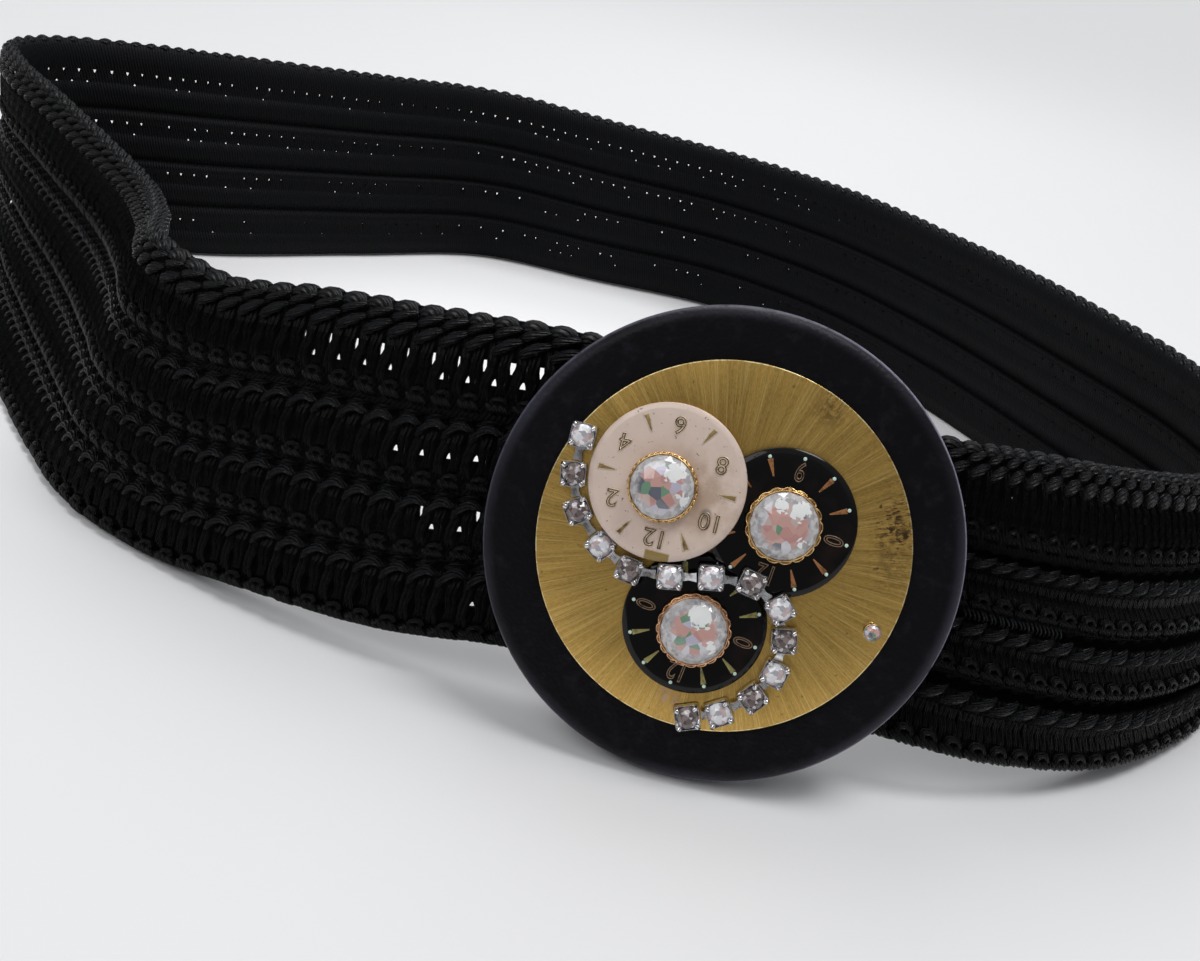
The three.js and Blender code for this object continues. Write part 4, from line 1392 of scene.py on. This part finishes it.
def build_setting(stone, finish):
    """A lace-edged setting: a bezel round the stone with a ring of small wire loops outside it."""
    pile = Pile()
    rim = stone.radius
    pile.add(*lathe([(rim, 0.0), (rim + 0.2, 0.1), (rim + 0.2, 0.3), (rim, 0.4)], 64))
    for wider, height, thick in SETTING_WIRES:
        pile.add(*sweep(ring_points(rim + wider, height, 96), thick, thick, 8, closed=True))
    step = math.tau / stone.scallops
    along = np.linspace(-1, 1, 9)
    arch = np.sqrt(np.clip(1 - along**2, 0, 1))
    reach = rim + 0.15 + stone.bulge * arch
    height = SETTING_HEIGHT - 0.35 - 0.35 * arch
    for scallop in range(stone.scallops):
        around = (scallop + 0.5) * step + along * step / 2 * 0.92
        path = np.stack([reach * np.cos(around), reach * np.sin(around), height], 1)
        pile.add(*sweep(path, stone.wire, stone.wire, 6))
    place = dial_place(stone.dial, DIAL_THICK + GAP, stone.x, stone.y)
    node = f"stone_setting_{stone.dial}"
    pile.build(f"setting_{stone.dial}_lace", "setting", [finish], place, stands_for=[node])


def build_cup(number, silver):
    """A square cup with four bent prongs and its flat link to the next cup."""
    pile = Pile()
    outline = square_outline(CUP_SIDE / 2, CUP_ROUND)
    rings = [(1.0, 0.0), (1.0, CUP_HEIGHT * 0.45), (0.99, CUP_HEIGHT), (0.93, CUP_HEIGHT), (0.91, CUP_FLOOR)]
    pile.add(*stacked(outline, rings))
    path = [(reach, 0, height) for reach, height, _ in PRONG]
    radii = [radius for _, _, radius in PRONG]
    points, faces, strands = sweep(path, radii, radii, 8, front=(0, 1, 0))
    for corner in range(4):
        turn = Matrix.Rotation(math.pi / 2 * (corner + 0.5), 4, "Z")
        pile.add(points, faces, strands, place=turn)
    if number < len(CUPS) - 1:
        add_link(pile, number)
    node = f"chain_cup_{number + 1:02d}"
    name = f"cup_{number + 1:02d}_silver"
    pile.build(name, "cup", [silver], cup_place(number), sharp=45, stands_for=[node])


def square_outline(half, rounding, steps=3):
    """A square with rounded corners, as points in the plane."""
    points = []
    for corner in range(4):
        centre = math.pi / 4 + corner * math.pi / 2
        middle = Vector((math.cos(centre), math.sin(centre))) * (half - rounding) * math.sqrt(2)
        for angle in np.linspace(centre - math.pi / 4, centre + math.pi / 4, steps + 1):
            points.append((middle.x + rounding * math.cos(angle), middle.y + rounding * math.sin(angle)))
    return np.array(points)


def add_link(pile, number):
    """The flat tab from a cup to the next one, narrow at its waist, in the cup's own frame."""
    step = (cup_place(number).inverted() @ cup_place(number + 1)).translation / MM
    flat = Vector((step.x, step.y, 0))
    direction = flat.normalized()
    start = direction * LINK_START
    end = direction * (flat.length - LINK_END)
    start.z, end.z = LINK_RISE, LINK_RISE + step.z
    side = Vector((-direction.y, direction.x, 0)) * LINK_WIDTH / 2
    thick = Vector((0, 0, LINK_THICK))
    points = []
    for middle, share in ((start, 1.0), ((start + end) / 2, LINK_WAIST), (end, 1.0)):
        left, right = middle + side * share, middle - side * share
        points += [left, left + thick, right + thick, right]
    ends = np.array([[0, 1, 2, 3], [11, 10, 9, 8]])
    pile.add(np.array(points), [tube_faces(3, 4)[0][:, ::-1], ends])


def build_cup_stone(number, finish):
    """A small round stone with a table and two rings of facets."""
    radius, girdle, crown = CUP_STONE_RADIUS, CUP_STONE_GIRDLE, CUP_STONE_CROWN
    body = faceted(
        (radius * 0.5, -CUP_STONE_POINT, 8),
        (radius, girdle * 0.5, 16),
        (radius, girdle, 16),
        (radius * 0.78, girdle + crown * 0.62, 8, 0.5),
        (radius * 0.5, girdle + crown, 8),
    )
    pile = Pile()
    pile.add(*body)
    place = cup_place(number) @ shift_by(0, 0, CUP_FLOOR + GAP / 2 + CUP_STONE_POINT)
    place = place @ Matrix.Rotation(number * CUP_STONE_TURN, 4, "Z")
    node = f"chain_stone_{number + 1:02d}"
    pile.build(f"{node}_cut", "stone", [finish], place, smooth=False, stands_for=[node])


def build_rim_stone(finish, silver):
    """The single small stone by itself on the brushed disc, in its thin cup."""
    x, y, radius = RIM_STONE
    body = faceted(
        (radius * 0.9, 0.0, 12),
        (radius * 0.9, 0.4, 12),
        (radius * 0.66, 0.75, 8, 0.5),
        (radius * 0.42, 0.9, 8),
    )
    pile = Pile()
    pile.add(*body)
    points, faces, strands = sweep(ring_points(radius * 0.95, 0.22, 28), 0.16, 0.2, 6, closed=True)
    pile.add(points, faces, strands, slot=1)
    place = face_place(x, y, DECK + GAP)
    pile.build("rim_stone_cut", "stone", [finish, silver], place, smooth=False, stands_for=["rim_stone"])


# Operators


class BELT_OT_band(bpy.types.Operator):
    """Stitch the four ribs of the band, inside and out"""

    bl_idname = "belt.band"
    bl_label = "Band"

    def execute(self, context):
        look = context.scene.belt_cord
        band = Band(look)
        cord, inner = cord_finish(look.colour), lining_finish(look.colour)
        every = np.arange(band.count)
        drawn = band.at(every, band.drawn) > 0.5
        for rib, name in enumerate(RIB_NAMES):
            pile = Pile()
            band.lay(pile, rib_stitch(rib), rib, every[~drawn])
            other = rib_stitch(rib, LOOSE, LOOSE_LIFT) if rib == TOP_RIB else drawn_stitch(rib)
            band.lay(pile, other, rib, every[drawn])
            lining(band, pile, rib, 1)
            pile.build(f"rib_{name}", "cord", [cord, inner], stands_for=["band"])
        overcast(band).build("overcast_thread", "cord", [cord_finish(GREY_THREAD)])
        for name, rib in (("top", TOP_RIB), ("bottom", 0)):
            pile = Pile()
            band.lay(pile, edge_lobe(rib), rib, every)
            pile.build(f"edge_{name}", "cord", [cord], stands_for=["band"])
        return {"FINISHED"}


class BELT_OT_discs(bpy.types.Operator):
    """Cover the medallion in leather and lay the brushed disc on it"""

    bl_idname = "belt.discs"
    bl_label = "Leather and brushed disc"

    def execute(self, context):
        look = context.scene.belt_medallion
        build_leather(look)
        build_sunray(look)
        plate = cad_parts["clasp_plate"]
        plate.data.materials.clear()
        plate.data.materials.append(metal_finish("clasp_steel"))
        return {"FINISHED"}


class BELT_OT_dials(bpy.types.Operator):
    """Make the three watch dials with their marks"""

    bl_idname = "belt.dials"
    bl_label = "Watch dials"

    def execute(self, context):
        look = context.scene.belt_medallion
        lume, lines = lume_finish(), metal_finish("number_lines")
        build_black_dial("lower", look, [metal_finish("olive_marks"), lume, lines])
        build_black_dial("right", look, [metal_finish("copper_marks"), lume, lines])
        white_marks = [metal_finish(name) for name in ("gold_marks", "dark_numbers", "pale_borders")]
        build_white_dial(look, white_marks)
        return {"FINISHED"}


class BELT_OT_stones(bpy.types.Operator):
    """Set the three large stones and the small one by itself"""

    bl_idname = "belt.stones"
    bl_label = "Large stones"

    def execute(self, context):
        metals = {name: metal_finish(name) for name in ("lace_gold", "lace_copper")}
        for number, stone in enumerate(STONES):
            shift = (0.013 * number, 0.007 * number, 0.0)
            name = f"foiled_glass_{stone.dial}"
            glass = stone_finish(name, GLASS_RIM, LARGE_PATCHES, FOIL, shift, stone.glares)
            build_setting(stone, metals[stone.metal])
            build_stone(stone, glass)
        small = stone_finish("small_glass", GLASS_RIM, SMALL_PATCHES, FOIL)
        build_rim_stone(small, metal_finish("rim_silver"))
        return {"FINISHED"}


class BELT_OT_chain(bpy.types.Operator):
    """Make the cup chain with its small stones"""

    bl_idname = "belt.chain"
    bl_label = "Cup chain"

    def execute(self, context):
        silver = metal_finish("cup_silver")
        clear = stone_finish("clear_chip", CLEAR_RIM, SMALL_PATCHES, CLEAR_FOIL)
        mauve = stone_finish("mauve_chip", MAUVE_RIM, SMALL_PATCHES, MAUVE_FOIL)
        for number in range(len(CUPS)):
            build_cup(number, silver)
            build_cup_stone(number, mauve if number + 1 in MAUVE_CUPS else clear)
        return {"FINISHED"}


class BELT_OT_stage(bpy.types.Operator):
    """Lay the floor, hang the lights and set the camera"""

    bl_idname = "belt.stage"
    bl_label = "Studio"

    def execute(self, context):
        look = context.scene.belt_studio
        set_floor(floor_finish(look.floor))
        set_lights(context.scene, look)
        set_sky(context.scene, look)
        set_camera(context.scene)
        context.scene.view_settings.view_transform = "Standard"
        return {"FINISHED"}


def set_floor(finish):
    reach = FLOOR_REACH_METRES
    mesh = bpy.data.meshes.new("floor")
    corners = [(-reach, -reach, 0), (reach, -reach, 0), (reach, reach, 0), (-reach, reach, 0)]
    mesh.from_pydata(corners, [], [(0, 1, 2, 3)])
    mesh.materials.append(finish)
    floor = bpy.data.objects.new("floor", mesh)
    bpy.context.scene.collection.objects.link(floor)


def set_lights(scene, look):
    """Three soft suns and two round lamps."""
    for row in SUNS:
        sun = bpy.data.lights.new(row.name, "SUN")
        sun.energy = look.sun * row.share
        sun.angle = math.radians(row.width)
        lamp = bpy.data.objects.new(row.name, sun)
        lamp.rotation_mode = "QUATERNION"
        lamp.rotation_quaternion = (-Vector(row.place)).to_track_quat("-Z", "Y")
        scene.collection.objects.link(lamp)
    for row in LAMPS:
        disc = bpy.data.lights.new(row.name, "AREA")
        disc.shape, disc.size, disc.energy = "DISK", row.width * MM, look.lamp * row.share
        lamp = bpy.data.objects.new(row.name, disc)
        lamp.location = Vector(row.place) * MM
        scene.collection.objects.link(lamp)


def set_sky(scene, look):
    """A sky that is brighter overhead, and a little brighter behind the belt."""
    world = bpy.data.worlds.new("studio")
    world.use_nodes = True
    scene.world = world
    sky = Nodes(world.node_tree)
    _, back, height = sky.parts(sky.node("TexCoord", output="Generated"))
    overhead = sky.step(height + back * SKY_BEHIND, *SKY_BRIGHTENS)
    background = world.node_tree.nodes["Background"]
    background.inputs["Color"].default_value = SKY_COLOUR
    sky.feed(background.inputs["Strength"], overhead * (look.sky - look.walls) + look.walls)


def set_camera(scene):
    """The photograph's camera, rolled so that level lines fall to the right."""
    data = bpy.data.cameras.new("camera")
    data.sensor_width = SENSOR_WIDTH
    data.lens = SENSOR_WIDTH * FOCAL_PIXELS / IMAGE_WIDTH
    data.clip_start, data.clip_end = 0.01, 100.0
    yaw, pitch, roll = (math.radians(v) for v in (CAMERA_YAW, CAMERA_PITCH, CAMERA_ROLL))
    ahead = Vector((math.sin(yaw) * math.cos(pitch), math.cos(yaw) * math.cos(pitch), -math.sin(pitch)))
    level = Vector((math.cos(yaw), -math.sin(yaw), 0))
    over = level.cross(ahead)
    right = math.cos(roll) * level + math.sin(roll) * over
    up = -math.sin(roll) * level + math.cos(roll) * over
    middle = medallion_middle()
    place = Vector(CAMERA_PLACE) * MM + Vector((middle.x, middle.y, 0))
    camera = bpy.data.objects.new("camera", data)
    turned = Matrix((right, up, -ahead)).transposed().to_4x4()
    camera.matrix_world = Matrix.Translation(place) @ turned
    scene.collection.objects.link(camera)
    scene.camera = camera


class BELT_PT_panel(bpy.types.Panel):
    """The belt's sizes and colours, and a button for each group of its pieces"""

    bl_idname = "BELT_PT_panel"
    bl_label = "Belt"
    bl_space_type = "VIEW_3D"
    bl_region_type = "UI"
    bl_category = "Belt"

    def draw(self, context):
        layout = self.layout
        for group in (context.scene.belt_cord, context.scene.belt_medallion, context.scene.belt_studio):
            box = layout.box()
            for name in group.bl_rna.properties.keys():
                if name not in {"rna_type", "name"}:
                    box.prop(group, name)
        for operator in OPERATORS:
            layout.operator(operator.bl_idname)


OPERATORS = (BELT_OT_band, BELT_OT_discs, BELT_OT_dials, BELT_OT_stones, BELT_OT_chain, BELT_OT_stage)
GROUPS = {"belt_cord": CordLook, "belt_medallion": MedallionLook, "belt_studio": StudioLook}


def register():
    for made in (*GROUPS.values(), *OPERATORS, BELT_PT_panel):
        bpy.utils.register_class(made)
    for name, group in GROUPS.items():
        setattr(bpy.types.Scene, name, bpy.props.PointerProperty(type=group))


def unregister():
    for name in GROUPS:
        delattr(bpy.types.Scene, name)
    for made in reversed((*GROUPS.values(), *OPERATORS, BELT_PT_panel)):
        bpy.utils.unregister_class(made)


def main():
    register()
    for operator in OPERATORS:
        group, name = operator.bl_idname.split(".")
        getattr(getattr(bpy.ops, group), name)()


if __name__ == "__main__":
    main()
